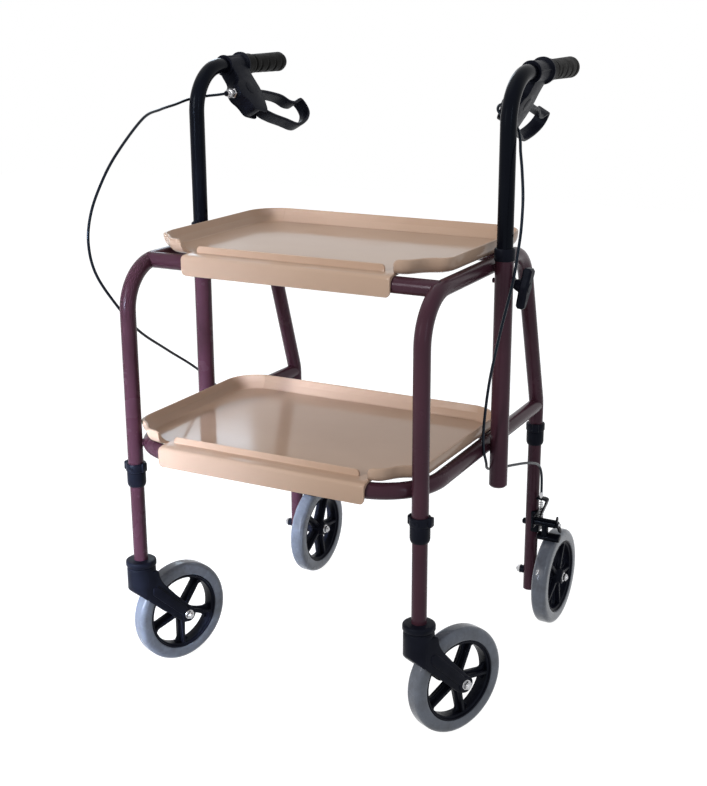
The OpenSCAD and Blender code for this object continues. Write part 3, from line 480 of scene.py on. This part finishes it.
def trayClip(dims):
    # ridge section carried along X: a top that falls forward, a round shoulder, a straight front,
    # and the bar's curve inside
    d, half = dims["drop"], dims["clipHalf"]
    a = np.linspace(math.radians(96), math.pi, 10)
    (y, z), r = dims["shoulderAt"], dims["shoulderR"]
    shoulder = np.stack([y + r * np.cos(a), z + r * np.sin(a)], 1)
    b = np.linspace(math.pi, math.pi / 2, 10)
    inner = dims["barR"] * np.stack([np.cos(b), np.sin(b)], 1)
    foot = [(-14.2, -d + 1.2), (-13.9, -d + 0.4), (-13.0, -d), (-12.0, -d + 0.4), (-11.5, -d + 1.2)]
    prof = np.concatenate([[(19, 13.2), (6, 13.3), (2.5, 13.85), (0, 14.05), (-5, 13.6)], shoulder, foot,
                           inner, [(8, 11.5), (19, 12.0)]])
    x, fall = roundEnds(-half, half, 7.0, 24)
    z = np.where(prof[None, :, 1] < 0, prof[None, :, 1] * (1 - fall / d)[:, None],
                 prof[None, :, 1] - 0.12 * fall[:, None])
    points = np.stack([np.broadcast_to(x[:, None], z.shape), np.broadcast_to(prof[None, :, 0], z.shape), z],
                      -1)
    return gridPart(points)


def trayLip(dims):
    # thin upright strip on a small fillet, with a round top corner at each end
    y0, y1 = dims["under"] - 2.2, dims["under"] + 0.6
    base = dims["under"] + dims["sheet"] - 1.0
    prof = np.array([(y1 + 2.0, 0), (y1 + 0.6, 0.08), (y1, 0.22), (y1, 0.92), (y1 - 0.8, 1), (y0 + 0.8, 1),
                     (y0, 0.92), (y0, 0.22), (y0 - 0.6, 0.08), (y0 - 2.0, 0)])
    x, fall = roundEnds(*dims["lipEnds"], 5.0, 20)
    z = base + prof[None, :, 1] * (dims["lipHigh"] + 1 - fall)[:, None]
    return gridPart(np.stack([np.broadcast_to(x[:, None], z.shape),
                              np.broadcast_to(prof[None, :, 0], z.shape), z], -1))


for name, y, z in (("upper_tray", lay["crossY"], lay["topRail"]),
                   ("lower_tray", -lay["shelfBarY"], lay["shelf"])):
    makePiece(name.replace("_t", "T"), trayShell(trayDims) + [trayClip(trayDims), trayLip(trayDims)],
              lambda p, y=y, z=z: p + (0, y, z), "tray_plastic", name, [name], 32)
print("trays made")


# grips: a turned sleeve with a raised collar and finger grooves pressed into its lower half
gripDims = {"start": 124.0, "long": 115.0, "r": 14.5, "collarR": 15.6, "grooves": (38, 58, 78, 97),
            "deep": 1.5}


def gripPart(dims):
    # radius along the length, less a bell-shaped dip at each groove that fades out over the top
    h = np.concatenate([np.linspace(0, 26, 24), np.linspace(26.5, dims["long"] - 8, 120),
                        np.linspace(dims["long"] - 7.5, dims["long"], 10)])
    r = np.interp(h, [0, 1, 18, 20.5, 22, 24.5, 27, 60, dims["long"] - 8, dims["long"] - 2.5,
                      dims["long"] - 0.6, dims["long"]],
                  [dims["r"] - 0.5, dims["collarR"], dims["collarR"], dims["collarR"] - 0.4, dims["r"] - 2.0,
                   dims["r"] - 2.0, dims["r"] - 0.4,
                   dims["r"] - 0.1, dims["r"] + 0.5, dims["r"] - 1.6, dims["r"] - 3.6, dims["r"] - 4.6])
    a = np.linspace(0, 2 * math.pi, 64, endpoint=False)
    low = np.clip(0.5 - 0.9 * np.sin(a), 0, 1)
    dip = sum(np.exp(-((h - g) / 2.0) ** 2) for g in dims["grooves"]) * dims["deep"]
    rr = r[:, None] - dip[:, None] * low[None]
    points = np.stack([rr * np.cos(a), np.broadcast_to(h[:, None] + dims["start"], rr.shape),
                       rr * np.sin(a) + lay["handleZ"]], -1)
    return gridPart(points)


for side, s in sides.items():
    makePiece(side + "Grip", [gripPart(gripDims)], atPost(s), "grip_rubber", "handle_" + side,
              ["grip_" + side])
print("grips made")


# brake units: a clamp round the handle, two cheeks, a nose for the cable and a strap loop between the cheeks
unitDims = {"outline": [(75, 10), (75, 0), (76, -12), (78, -29), (66, -36), (64, -53), (76, -64), (81, -79),
                        (108, -86), (114, -82), (120, -62), (122, -49), (117, -24), (118, 0), (118, 10)],
            "core": [(76, 8), (77, -29), (66.5, -36.5), (64.5, -52.5), (76.5, -63), (81.5, -78), (96, -82.5),
                     (93, -70), (84, -52), (82, -40), (90, -25), (116, -22), (116, 8)],
            "half": 12.5, "cheek": 2.0, "pivot": (96, -44), "capR": 10.5, "clampY": 74.0, "clampLong": 45.0,
            "clampR": 14.2, "flangeR": 18.6}


def housingParts(dims):
    rim = softCorners(dims["outline"], 7, 7)
    core = softCorners(dims["core"], 5, 5)
    h = dims["half"]
    parts = [platePart(rim, -h, -h + dims["cheek"], 0.8), platePart(rim, h - dims["cheek"], h, 0.8),
             platePart(core, -h + 1, h - 1, 0.4)]
    y0, y1, ri, ro = dims["clampY"], dims["clampY"] + dims["clampLong"], 11.15, dims["clampR"]
    ring = [(ri, y0 + 0.5), (ro + 0.4, y0), (ro + 1.2, y0 + 0.6), (ro + 1.2, y0 + 2.6), (ro, y0 + 3.4),
            (ro, y1 - 2.5), (ro + 1.2, y1 - 1.2), (dims["flangeR"] - 0.6, y1 - 0.6), (dims["flangeR"], y1),
            (dims["flangeR"], y1 + 3),
            (dims["flangeR"] - 1, y1 + 4), (ri, y1 + 4)]
    parts.append(lathePart(ring, "y", closed=True, count=72))
    return parts


loopDims = {"route": [(104, -50), (128, -50.5), (158, -56.5), (178, -62.5), (193, -72), (208, -75),
                      (221, -72), (230, -72), (234.5, -83), (232, -94), (218, -104), (196, -110.5),
                      (180, -110), (158, -101), (131, -91), (112, -80), (98, -58)],
            "wide": 20.0, "thick": 5.0, "edge": 1.3}


def strapLoop(dims):
    # rounded strip carried round the closed loop route
    w, t = dims["wide"] / 2, dims["thick"] / 2
    prof = softCorners([(-w, -t), (w, -t), (w, t), (-w, t)], dims["edge"] * 1.6, 5)
    flat = routeCurve(dims["route"], 12 * len(dims["route"]), closed=True)
    path = np.concatenate([np.zeros((len(flat), 1)), flat], 1)
    return sweepPart(path, prof, (1, 0, 0), closed=True)


adjusterDims = {"y": 66.0, "z": -44.5}


def adjusterParts(dims):
    # hex lock nut, knurled barrel and a plain neck, turned about the cable axis
    at = (0, dims["y"], dims["z"])
    nut = lathePart([(0.5, 0.6), (6.2, 0.6), (7.0, -0.2), (7.0, -4.2), (6.2, -5.0), (0.5, -5.0)], "y", at, 36,
                    swell=hexSwell)
    knurl = lambda a: 1 + 0.035 * np.sign(np.sin(18 * a))
    barrel = lathePart([(0.5, -4.6), (5.8, -4.9), (6.4, -5.8), (6.4, -13.4), (5.8, -14.4), (4.4, -14.8),
                        (4.4, -19.4), (3.9, -20.2), (0.5, -20.2)],
                       "y", at, 72, swell=knurl)
    return [nut, barrel]


for side, s in sides.items():
    here = atUnit(s)
    makePiece(side + "BrakeHousing", housingParts(unitDims), here, "black_plastic", "handle_" + side,
              ["brake_housing_" + side], 30)
    y, z = unitDims["pivot"]
    h, r = unitDims["half"], unitDims["capR"]
    disc = [(0.3, -1), (r - 1.2, -1), (r - 1.2, 0.05), (r - 0.9, 0.35), (r - 1.6, 0.5), (0.3, 0.55)]
    caps = [lathePart([(a, h + b) for a, b in disc], "x", (0, y, z), 56),
            lathePart([(a, -h - b) for a, b in disc], "x", (0, y, z), 56),
            lathePart([(0.3, -h), (3, -h), (3, h), (0.3, h)], "x", (0, y, z), 24)]
    makePiece(side + "LeverPivot", caps, here, "black_plastic", "handle_" + side, ["lever_pivot_" + side])
    boss = lathePart([(3.1, -9.8), (15.4, -9.8), (16, -9), (16, 9), (15.4, 9.8), (3.1, 9.8)], "x", (0, y, z),
                     56, closed=True)
    makePiece(side + "BrakeLever", [strapLoop(loopDims), boss], here, "black_plastic", "brake_lever_" + side,
              ["brake_lever_" + side], 40)
    makePiece(side + "CableAdjuster", adjusterParts(adjusterDims), here, "bright_steel", "handle_" + side,
              ["cable_adjuster_" + side], 30)
    boot = lathePart([(2.1, -19.6), (3.8, -19.8), (3.9, -20.8), (3.2, -22.6), (2.5, -24), (2.1, -24.2)], "y",
                     (0, adjusterDims["y"], adjusterDims["z"]), 28, closed=True)
    makePiece(side + "CableBoot", [boot], here, "black_plastic", "handle_" + side)
print("brake units made")


# clamp knobs: a two-lobed head with bevelled edges, on a cone that faces the post
knobDims = {"outline": [(-9, 25), (8, 26), (10, 20), (9, 9), (11.5, 0), (9.5, -10), (6.5, -29), (2, -31),
                        (-5, -30), (-8, -12), (-11.5, -2), (-9, 10)],
            "inner": 16.1, "back": 24.5, "outer": 37.0, "lean": 9.0}
for side, s in sides.items():
    d = knobDims
    head = softCorners(d["outline"], 3.0, 5)
    cone = lathePart([(0.4, d["inner"]), (6.2, d["inner"]), (6.9, d["inner"] + 0.7), (9.4, d["inner"] + 8),
                      (10.4, d["back"] + 1.5), (0.4, d["back"] + 1.5)],
                     "x", count=48)
    crown = lathePart([(0.4, d["outer"] - 2), (7.6, d["outer"] - 2), (7.6, d["outer"]),
                       (6.4, d["outer"] + 0.9), (0.4, d["outer"] + 1.0)], "x", count=40)
    stud = lathePart([(0.4, 11.6), (2.9, 11.6), (2.9, 17), (0.4, 17)], "x", count=24)
    lean = lambda p: turned("y", d["lean"])(turned("x", -d["lean"])(p))
    place = lambda p, s=s, lean=lean: atPost(s)(lean(p) + (0, 0, lay["knobZ"]))
    makePiece(side + "ClampKnob", [platePart(head, d["back"], d["outer"], 3.0, 2), cone, crown, stud], place,
              "black_plastic", "clamp_knob_" + side,
              ["clamp_knob_" + side], 28)
    tip = lathePart([(0.4, -16.4), (2.4, -16.2), (3.1, -15.4), (3.1, -13), (0.4, -13)], "x",
                    (0, 0, lay["knobZ"]), 24)
    makePiece(side + "StudTip", [tip], atPost(s), "bright_steel", "frame")
print("knobs made")


# wheels: a turned tyre on a deep rim with five ribbed spokes
wheelDims = {"r": 75.0, "wide": 24.0, "hubR": 57.0, "boss": 12.0, "bossHalf": 15.5, "spokes": 5,
             "first": {"left": 1.0, "right": -12.0}}


def tyreParts(dims):
    r, h, i = dims["r"], dims["wide"] / 2, dims["hubR"]
    q = np.linspace(0, math.pi / 2, 10)
    shoulder = np.stack([r - 8 + 8 * np.sin(q), h - 6.5 + 6.5 * np.cos(q)], 1)
    prof = np.concatenate([[(i, -h + 1.4), (i + 0.4, -h + 0.6), (i + 1.6, -h + 0.1), (i + 3, -h)],
                           (shoulder * (1, -1)), shoulder[::-1],
                           [(i + 3, h), (i + 1.6, h - 0.1), (i + 0.4, h - 0.6), (i, h - 1.4)]])
    return [lathePart(prof, "x", count=128, closed=True)]


def hubParts(dims, first):
    i, h = dims["hubR"], dims["wide"] / 2 - 0.6
    rim = [(i - 0.1, -h), (i - 0.1, h), (i - 1.4, h + 0.3), (i - 2.2, h - 0.4), (i - 2.6, h - 2.2),
           (i - 5.2, h - 3.4), (i - 6, 2), (i - 6, -2), (i - 5.2, -h + 3.4), (i - 2.6, -h + 2.2),
           (i - 2.2, -h + 0.4), (i - 1.4, -h - 0.3)]
    b, bh = dims["boss"], dims["bossHalf"]
    boss = [(4.1, -bh), (b - 2.2, -bh), (b - 1.4, -bh + 0.7), (b - 1, -bh + 4), (b, -bh + 6), (b, bh - 6),
            (b - 1, bh - 4), (b - 1.4, bh - 0.7), (b - 2.2, bh), (4.1, bh)]
    parts = [lathePart(rim, "x", count=112, closed=True), lathePart(boss, "x", count=48, closed=True)]
    for k in range(dims["spokes"]):
        spin = turned("x", -(360 / dims["spokes"] * k + first) + 180)
        # web edge from boss to rim, flared at both ends
        half = [(9, b - 2), (5.6, 19), (5.0, 30), (6.0, 41), (9, 47), (15, i - 5.2)]
        web = softCorners(half + [(-y, z) for y, z in half[::-1]], 5, 5)
        rib = softCorners([(-3.1, b - 2), (3.1, b - 2), (2.4, i - 5), (-2.4, i - 5)], 1.0, 4)
        parts += [moved(platePart(web, -2.4, 2.4, 1.2), spin), moved(platePart(rib, -9, 9, 1.2), spin)]
    return parts


axleDims = {"r": 3.95, "frontHalf": 24.7, "rearIn": -14.2, "rearEnd": 55.6, "rearNut": -15.6}


def acornNut(x, way):
    # washer, six flats and a dome, turned about the axle
    nut = lathePart([(0.4, x), (4.9, x), (5.3, x + 0.4 * way), (5.3, x + 4.2 * way), (4.8, x + 4.8 * way),
                     (0.4, x + 4.8 * way)], "x", count=36, swell=hexSwell)
    washer = lathePart([(4, x - 0.1 * way), (6.9, x - 0.1 * way), (7.2, x + 0.3 * way), (6.9, x + 0.9 * way),
                        (4, x + 0.9 * way)], "x", count=40, closed=True)
    q = np.linspace(0, math.pi / 2 * 0.97, 9)
    dome = lathePart(np.concatenate([[(0.4, x + 4 * way)], np.stack([4.3 * np.cos(q),
                                                                     x + way * (4.6 + 3.0 * np.sin(q))], 1)]),
                                                                     "x", count=36)
    return [nut, washer, dome]


# castors: a head cut off along a slope, two arms that run down to the axle, each with a raised panel
castorDims = {"headR": 20.8, "headTop": 166.0, "gap": 37.4, "arm": 4.8, "slope": (106.5, 6.0, 0.94),
              "room": 79.0, "taper": 2.6,
              "side": [(-4, 115.9), (-4, 158), (13, 160), (16.5, 156), (17.5, 146), (24, 134.5), (45, 110),
                       (69, 84.8), (73.6, 80.2), (74.7, 75.5), (73.6, 70), (70, 65.4), (65, 63.3),
                       (59.5, 62.6), (53, 64.6), (40, 76.5), (20, 95.3)],
              "panel": [(3.2, 128), (4.5, 133), (9, 135.5), (14, 133.5), (60, 87.5), (61.5, 83.5),
                        (58.5, 78.5), (54, 76.8), (50, 78.5), (8, 119), (4, 123)]}


def castorHead(dims):
    # turned neck and wall; the underside follows the arms' slope, or the wheel's clearance where higher
    top, r = dims["headTop"], dims["headR"]
    height, start, fall = dims["slope"]
    under = lambda y: np.minimum(top - 8, np.maximum(height - fall * (y - start),
                                                     lay["wheelR"] + np.sqrt(np.clip(
        dims["room"] ** 2 - (lay["trail"] - y) ** 2, 0, None))))
    a = np.linspace(0, 2 * math.pi, 96, endpoint=False)
    neck = [(6.1, 0), (19.2, 0), (20.3, -0.6), (20.5, -1.7), (20.0, -2.4), (20.5, -3.2), (r, -5)]
    foot = [(r, 3), (r - 0.4, 1.1), (r - 1.6, 0.1), (r - 6, 0), (6.1, 0)]
    rows = [np.stack([q * np.cos(a), q * np.sin(a), np.full(96, top + h)], 1) for q, h in neck]
    rows += [np.stack([q * np.cos(a), q * np.sin(a), under(q * np.sin(a)) + h], 1) for q, h in foot]
    return gridPart(np.array(rows), wrapRows=True)


def forkParts(dims):
    parts = [castorHead(dims)]
    outline, panel = softCorners(dims["side"], 6, 6), softCorners(dims["panel"], 4, 6)

    def splay(p):  # arms lie against the head and ease outwards on the way to the axle
        back = np.clip(p[:, 1] / 45, 0, 1)
        near = dims["taper"] * (1 - back ** 2 * (3 - 2 * back))
        return np.stack([np.sign(p[:, 0]) * (np.abs(p[:, 0]) - near), p[:, 1], p[:, 2]], 1)

    a, b = dims["gap"] / 2, dims["gap"] / 2 + dims["arm"]
    for w in (-1, 1):
        parts.append(moved(platePart(outline, *sorted((w * a, w * b)), 1.8, 6), splay))
        parts.append(moved(platePart(panel, *sorted((w * (b - 1.5), w * (b + 1.5))), 1.2, 4), splay))
        eye = [(4, a - 0.4), (11.2, a - 0.4), (11.6, a + 0.4), (11.6, b + 0.4), (10.6, b + 1.2), (4, b + 1.2)]
        parts.append(lathePart([(p, w * q) for p, q in eye], "x", (0, lay["trail"], lay["wheelR"]), 48,
                               closed=True))
    return parts


def capParts(dims):
    z = dims["headTop"] + 0.4
    ring = [(10.25, z), (19.6, z), (21.2, z + 0.3), (21.9, z + 1.2), (21.9, z + 6.2), (21.4, z + 7.6),
            (20.3, z + 8.4), (18.6, z + 8.7), (14, z + 8.9), (10.25, z + 9.1)]
    return [lathePart(ring, "z", count=72, closed=True)]


for side, s in sides.items():
    here = atCastor(s)
    hub = lambda p, here=here: here(p + (0, lay["trail"], lay["wheelR"]))
    makePiece(side + "CastorCap", capParts(castorDims), atFront(s), "black_plastic", "front_leg_" + side,
              ["castor_cap_" + side])
    makePiece(side + "CastorFork", forkParts(castorDims), here, "black_plastic", "castor_" + side,
              ["castor_fork_" + side], 34)
    makePiece(side + "FrontTyre", tyreParts(wheelDims), hub, "tyre_grey", "front_wheel_" + side,
              ["front_tyre_" + side])
    makePiece(side + "FrontHub", hubParts(wheelDims, wheelDims["first"][side]), hub, "black_plastic",
              "front_wheel_" + side, ["front_hub_" + side], 34)
    reach, r = axleDims["frontHalf"], axleDims["r"]
    bolt = [lathePart([(0.4, -reach), (r, -reach), (r, reach), (0.4, reach)], "x", count=28)]
    makePiece(side + "FrontAxle", bolt + acornNut(reach, 1) + acornNut(-reach, -1), hub, "bright_steel",
              "castor_" + side, ["front_axle_" + side], 30)
    back = atRear(s)
    rearHub = lambda p, back=back: back(p + (lay["rearOut"], 0, lay["wheelR"]))
    makePiece(side + "RearTyre", tyreParts(wheelDims), rearHub, "tyre_grey", "rear_wheel_" + side,
              ["rear_tyre_" + side])
    makePiece(side + "RearHub", hubParts(wheelDims, wheelDims["first"]["right"]), rearHub, "black_plastic",
              "rear_wheel_" + side, ["rear_hub_" + side], 34)
print("wheels and castors made")


# collars and bushes: turned rings, the collars with a groove, two ears and a push button
collarDims = {"top": 323.0, "front": {"left": 180.0, "right": 0.0}, "rear": 110.0, "button": -86.0}


def collarParts(dims, ear):
    z = dims["top"]
    ring = [(11.14, z - 0.4), (12.6, z), (13.8, z - 0.5), (14.4, z - 1.6), (14.4, z - 10.4), (13.9, z - 11.6),
            (13.0, z - 12.2), (12.9, z - 13.4), (13.3, z - 14), (13.3, z - 29), (12.8, z - 32),
            (11.6, z - 34.4), (10.24, z - 35), (10.24, z - 28), (11.14, z - 27)]
    parts = [lathePart(ring, "z", count=64, closed=True)]
    for turn, reach in ((ear, 17.6), (ear + 180, 16.0)):
        tab = boxPart((11.6, -5.2, z - 12.0), (reach, 5.2, z + 0.9), 1.6)
        parts.append(moved(tab, turned("z", turn)))
    button = lathePart([(0.3, 13.6), (3.3, 13.6), (3.3, 14.8), (2.7, 15.3), (1.6, 14.6), (0.3, 14.5)], "x",
                       (0, 0, z - 6.2), 28)
    return parts + [moved(button, turned("z", dims["button"]))]


bushDims = {"low": -5.0, "high": 12.0, "r": 14.1}
for side, s in sides.items():
    makePiece(side + "FrontCollar", collarParts(collarDims, collarDims["front"][side]), atFront(s),
              "black_plastic", "frame", ["front_collar_" + side], 32)
    makePiece(side + "RearCollar", collarParts(collarDims, collarDims["rear"]), atRear(s), "black_plastic",
              "frame", ["rear_collar_" + side], 32)
    d, z = bushDims, lay["postTop"]
    ring = [(12.74, z + d["low"] + 0.2), (d["r"] - 0.7, z + d["low"]), (d["r"], z + d["low"] + 0.8),
            (d["r"], z + d["high"] - 2.2), (d["r"] - 0.4, z + d["high"] - 0.9),
            (d["r"] - 1.5, z + d["high"]), (11.6, z + d["high"] - 0.2), (11.6, z + 0.4), (12.74, z)]
    makePiece(side + "PostBush", [lathePart(ring, "z", count=64, closed=True)], atPost(s), "black_plastic",
              "frame", ["post_bush_" + side])
print("collars and bushes made")


# rear brakes: a bracket on the leg with a bent cable stop and a wing nut, and an arm with the shoe bar
brakeDims = {"pivot": (-26.0, 172.0), "pinEnd": 52.0, "cable": (19.0, -14.0),
             "stop": [(12, 205.2), (24, 205.2), (28.2, 203.6), (26.4, 197), (20, 180)],
             "shoe": (21.0, 57.0), "shoeTurn": 21.0, "shoeR": 81.3, "shoeWide": 14.0, "shoeThick": 9.0,
             "bolt": 158.0,
             "plate": ((2, -12, 146), (15, 12, 181)), "ear": ((11, -34, 162), (15, -6, 181)),
             "wire": (0.8, 2.2, 32.0), "wings": (35, 215)}


def bracketParts(dims):
    y, z = dims["pivot"]
    strip = arcRoute([(p, -11.5, q) for p, q in dims["stop"]], [3, 2, 4], 6)
    parts = [boxPart(*dims["plate"], 2.0), boxPart(*dims["ear"], 1.4),
             sweepPart(strip, softCorners([(-6.5, -1.4), (6.5, -1.4), (6.5, 1.4), (-6.5, 1.4)], 1.2, 4),
                       (0, 1, 0))]
    dome = [(0.3, -15.6), (2.6, -15.3), (4.4, -14.2), (5.0, -12.6), (5.0, -9), (0.3, -9)]
    end = dims["pinEnd"]
    pin = [(0.3, 13), (2.95, 13), (2.95, end - 6), (0.3, end - 6)]
    nut = [(2.4, end - 2.9), (5.6, end - 2.9), (5.6, end - 1), (4.2, end + 1.4), (2.4, end + 1.4)]
    parts += [lathePart(dome, "x", (0, 0, dims["bolt"]), 32), lathePart(pin, "x", (0, y, z), 28),
              lathePart(nut, "x", (0, y, z), 32, closed=True)]
    wing = softCorners([(-3.2, 2), (3.2, 2), (4.6, 12), (3.6, 18), (0.5, 20), (-2.6, 17), (-4.2, 10)], 2.5, 5)
    for turn in dims["wings"]:
        blade = platePart(wing, end - 2.4, end + 0.6, 1.2, 4)
        # wings lean out towards their tips
        blade = moved(blade, lambda p: p + (0.16 * (p[:, 2:] - 4) * (1, 0, 0)))
        parts.append(moved(moved(blade, turned("x", turn)), lambda p: p + (0, y, z)))
    r, low, high = dims["wire"]  # bare inner wire, from just above the arm up into the stop
    inner = [(0.2, z + low), (r, z + low), (r, z + high), (0.2, z + high)]
    return parts + [lathePart(inner, "z", (*dims["cable"], 0), 12)]


def armParts(dims):
    y, z = dims["pivot"]
    t, r = math.radians(dims["shoeTurn"]), dims["shoeR"]
    barrel = [(3.1, 15.6), (6.0, 15.6), (6.5, 16.2), (6.5, 48.0), (6.0, 48.6), (3.1, 48.6)]
    parts = [lathePart(barrel, "x", (0, y, z), 40, closed=True)]
    w, h = dims["shoeWide"] / 2, dims["shoeThick"] / 2
    bar = platePart(softCorners([(-w, -h), (w, -h), (w, h), (-w, h)], 4.0, 6), *dims["shoe"], 1.2, 4)
    parts.append(moved(moved(bar, turned("x", dims["shoeTurn"])),
                       lambda p: p + (0, -r * math.sin(t), lay["wheelR"] + r * math.cos(t))))
    parts += [boxPart((28, y - 8, 150), (37, y + 1, z), 1.5),
              boxPart((16, y, z - 4), (22.5, y + 16.5, z), 1.0)]
    return parts


for side, s in sides.items():
    back = atRear(s)
    makePiece(side + "BrakeBracket", bracketParts(brakeDims), back, "black_paint", "rear_leg_" + side,
              ["brake_bracket_" + side], 32)
    makePiece(side + "BrakeArm", armParts(brakeDims), back, "black_paint", "brake_arm_" + side,
              ["brake_arm_" + side], 32)
    x, y = brakeDims["cable"]
    ferrule = [(2.05, 205), (2.5, 205), (2.8, 205.8), (2.8, 213.4), (2.5, 215.6), (2.05, 216.4)]
    bolt = lathePart([(0.3, 46), (2.3, 46), (2.3, 56.0), (1.7, 56.8), (0.3, 56.8)], "x",
                     (0, *brakeDims["pivot"]), 24)
    makePiece(side + "CableFerrule", [lathePart(ferrule, "z", (x, y, 0), 28, closed=True), bolt], back,
              "bright_steel", "rear_leg_" + side)
    axle = lambda p, back=back: back(p + (0, 0, lay["wheelR"]))
    low, high, r = axleDims["rearIn"], axleDims["rearEnd"], axleDims["r"]
    rod = [lathePart([(0.4, low), (r, low), (r, high), (0.4, high)], "x", count=28)]
    makePiece(side + "RearAxle", rod + acornNut(axleDims["rearNut"], -1) + acornNut(high, 1), axle,
              "bright_steel", "rear_leg_" + side, ["rear_axle_" + side], 30)
    spacers = [[(4, -15.6), (5.6, -15.6), (6.2, -15), (6.2, -9), (4, -9)],
               [(4, 9), (7, 9), (7, 23.4), (6.5, 23.9), (4, 23.9)]]
    makePiece(side + "AxleSpacer", [lathePart(ring, "x", count=36, closed=True) for ring in spacers], axle,
              "black_plastic", "rear_leg_" + side)
print("rear brakes made")


# floor and light: the floor is white to the camera and in reflections, and keeps a faint shadow
stageDims = {"size": 9.0, "drop": 0.0005, "shade": 0.3, "glow": 0.96, "floor": 0.5, "world": 0.42}


def seenOrMirrored(tree):  # 1 for rays from the camera and for reflected or transmitted ones
    path = tree.nodes.new("ShaderNodeLightPath")
    value = path.outputs["Is Camera Ray"]
    for word in ("Is Glossy Ray", "Is Transmission Ray"):
        most = tree.nodes.new("ShaderNodeMath")
        most.operation = "MAXIMUM"
        wire(tree, value, most.inputs[0])
        wire(tree, path.outputs[word], most.inputs[1])
        value = most.outputs[0]
    return value


def makeFloor(dims):
    e, z = dims["size"] / 2, -dims["drop"]
    mesh = bpy.data.meshes.new("floor")
    mesh.from_pydata([(-e, -e, z), (e, -e, z), (e, e, z), (-e, e, z)], [], [(0, 1, 2, 3)])
    floor = bpy.data.objects.new("floor", mesh)
    bpy.context.scene.collection.objects.link(floor)
    mat = bpy.data.materials.new("floorWhite")
    mat.use_nodes = True
    tree = mat.node_tree
    tree.nodes.remove(tree.nodes["Principled BSDF"])
    seen, plain = (tree.nodes.new("ShaderNodeBsdfDiffuse") for _ in range(2))
    glow = tree.nodes.new("ShaderNodeEmission")
    seen.inputs["Color"].default_value = (*[dims["shade"]] * 3, 1)
    plain.inputs["Color"].default_value = (*[dims["floor"]] * 3, 1)
    glow.inputs["Strength"].default_value = dims["glow"]
    both, pick = tree.nodes.new("ShaderNodeAddShader"), tree.nodes.new("ShaderNodeMixShader")
    wire(tree, seen.outputs[0], both.inputs[0])
    wire(tree, glow.outputs[0], both.inputs[1])
    wire(tree, seenOrMirrored(tree), pick.inputs[0])
    wire(tree, plain.outputs[0], pick.inputs[1])
    wire(tree, both.outputs[0], pick.inputs[2])
    wire(tree, pick.outputs[0], tree.nodes["Material Output"].inputs["Surface"])
    mesh.materials.append(mat)


def makeWorld(dims):
    world = bpy.data.worlds.new("studio")
    bpy.context.scene.world = world
    world.use_nodes = True
    tree = world.node_tree
    back = tree.nodes["Background"]
    back.inputs["Color"].default_value = (1, 1, 1, 1)
    level = tree.nodes.new("ShaderNodeMapRange")
    level.inputs["To Min"].default_value, level.inputs["To Max"].default_value = dims["world"], 1.0
    wire(tree, seenOrMirrored(tree), level.inputs["Value"])
    wire(tree, level.outputs["Result"], back.inputs["Strength"])


lampDims = {"top": {"at": (-0.7, -0.3, 2.9), "aim": (0, 0, 0.45), "wide": 1.6, "tall": 1.6, "watts": 5,
                    "cone": 180, "tint": (1.0, 0.97, 0.93)},
            "front": {"at": (-0.9, -2.6, 1.6), "aim": (0, 0, 0.45), "wide": 0.14, "tall": 1.2, "watts": 30,
                      "cone": 180, "tint": (1.0, 0.97, 0.94)},
            "key": {"at": (-0.6, -2.0, 0.6), "aim": (-0.44, -0.2, 0.22), "wide": 0.30, "tall": 0.6,
                    "watts": 5, "cone": 30, "tint": (0.70, 0.80, 1.0)},
            "edge": {"at": (2.3, -1.5, 1.3), "aim": (0, 0, 0.45), "wide": 0.06, "tall": 1.4, "watts": 5,
                     "cone": 180, "tint": (0.80, 0.90, 1.0)},
            "back": {"at": (-1.6, 1.9, 1.8), "aim": (0, 0, 0.6), "wide": 0.4, "tall": 1.2, "watts": 7,
                     "cone": 180, "tint": (0.7, 0.85, 1.0)}}


def makeLamp(name, dims):
    data = bpy.data.lights.new(name, "AREA")
    data.shape, data.size, data.size_y, data.energy = "RECTANGLE", dims["wide"], dims["tall"], dims["watts"]
    data.color, data.spread = dims["tint"], math.radians(dims["cone"])
    lamp = bpy.data.objects.new(name, data)
    bpy.context.scene.collection.objects.link(lamp)
    away = unitRows(np.array(dims["at"]) - dims["aim"])
    right = unitRows(np.cross((0, 0, 1), away))
    turn = np.eye(4)
    turn[:3, 0], turn[:3, 1], turn[:3, 2], turn[:3, 3] = right, np.cross(away, right), away, dims["at"]
    lamp.matrix_world = Matrix(turn.tolist())


makeFloor(stageDims)
makeWorld(stageDims)
for lampName, dims in lampDims.items():
    makeLamp(lampName, dims)
bpy.context.scene.view_settings.view_transform = "Standard"
print("stage and lamps set")
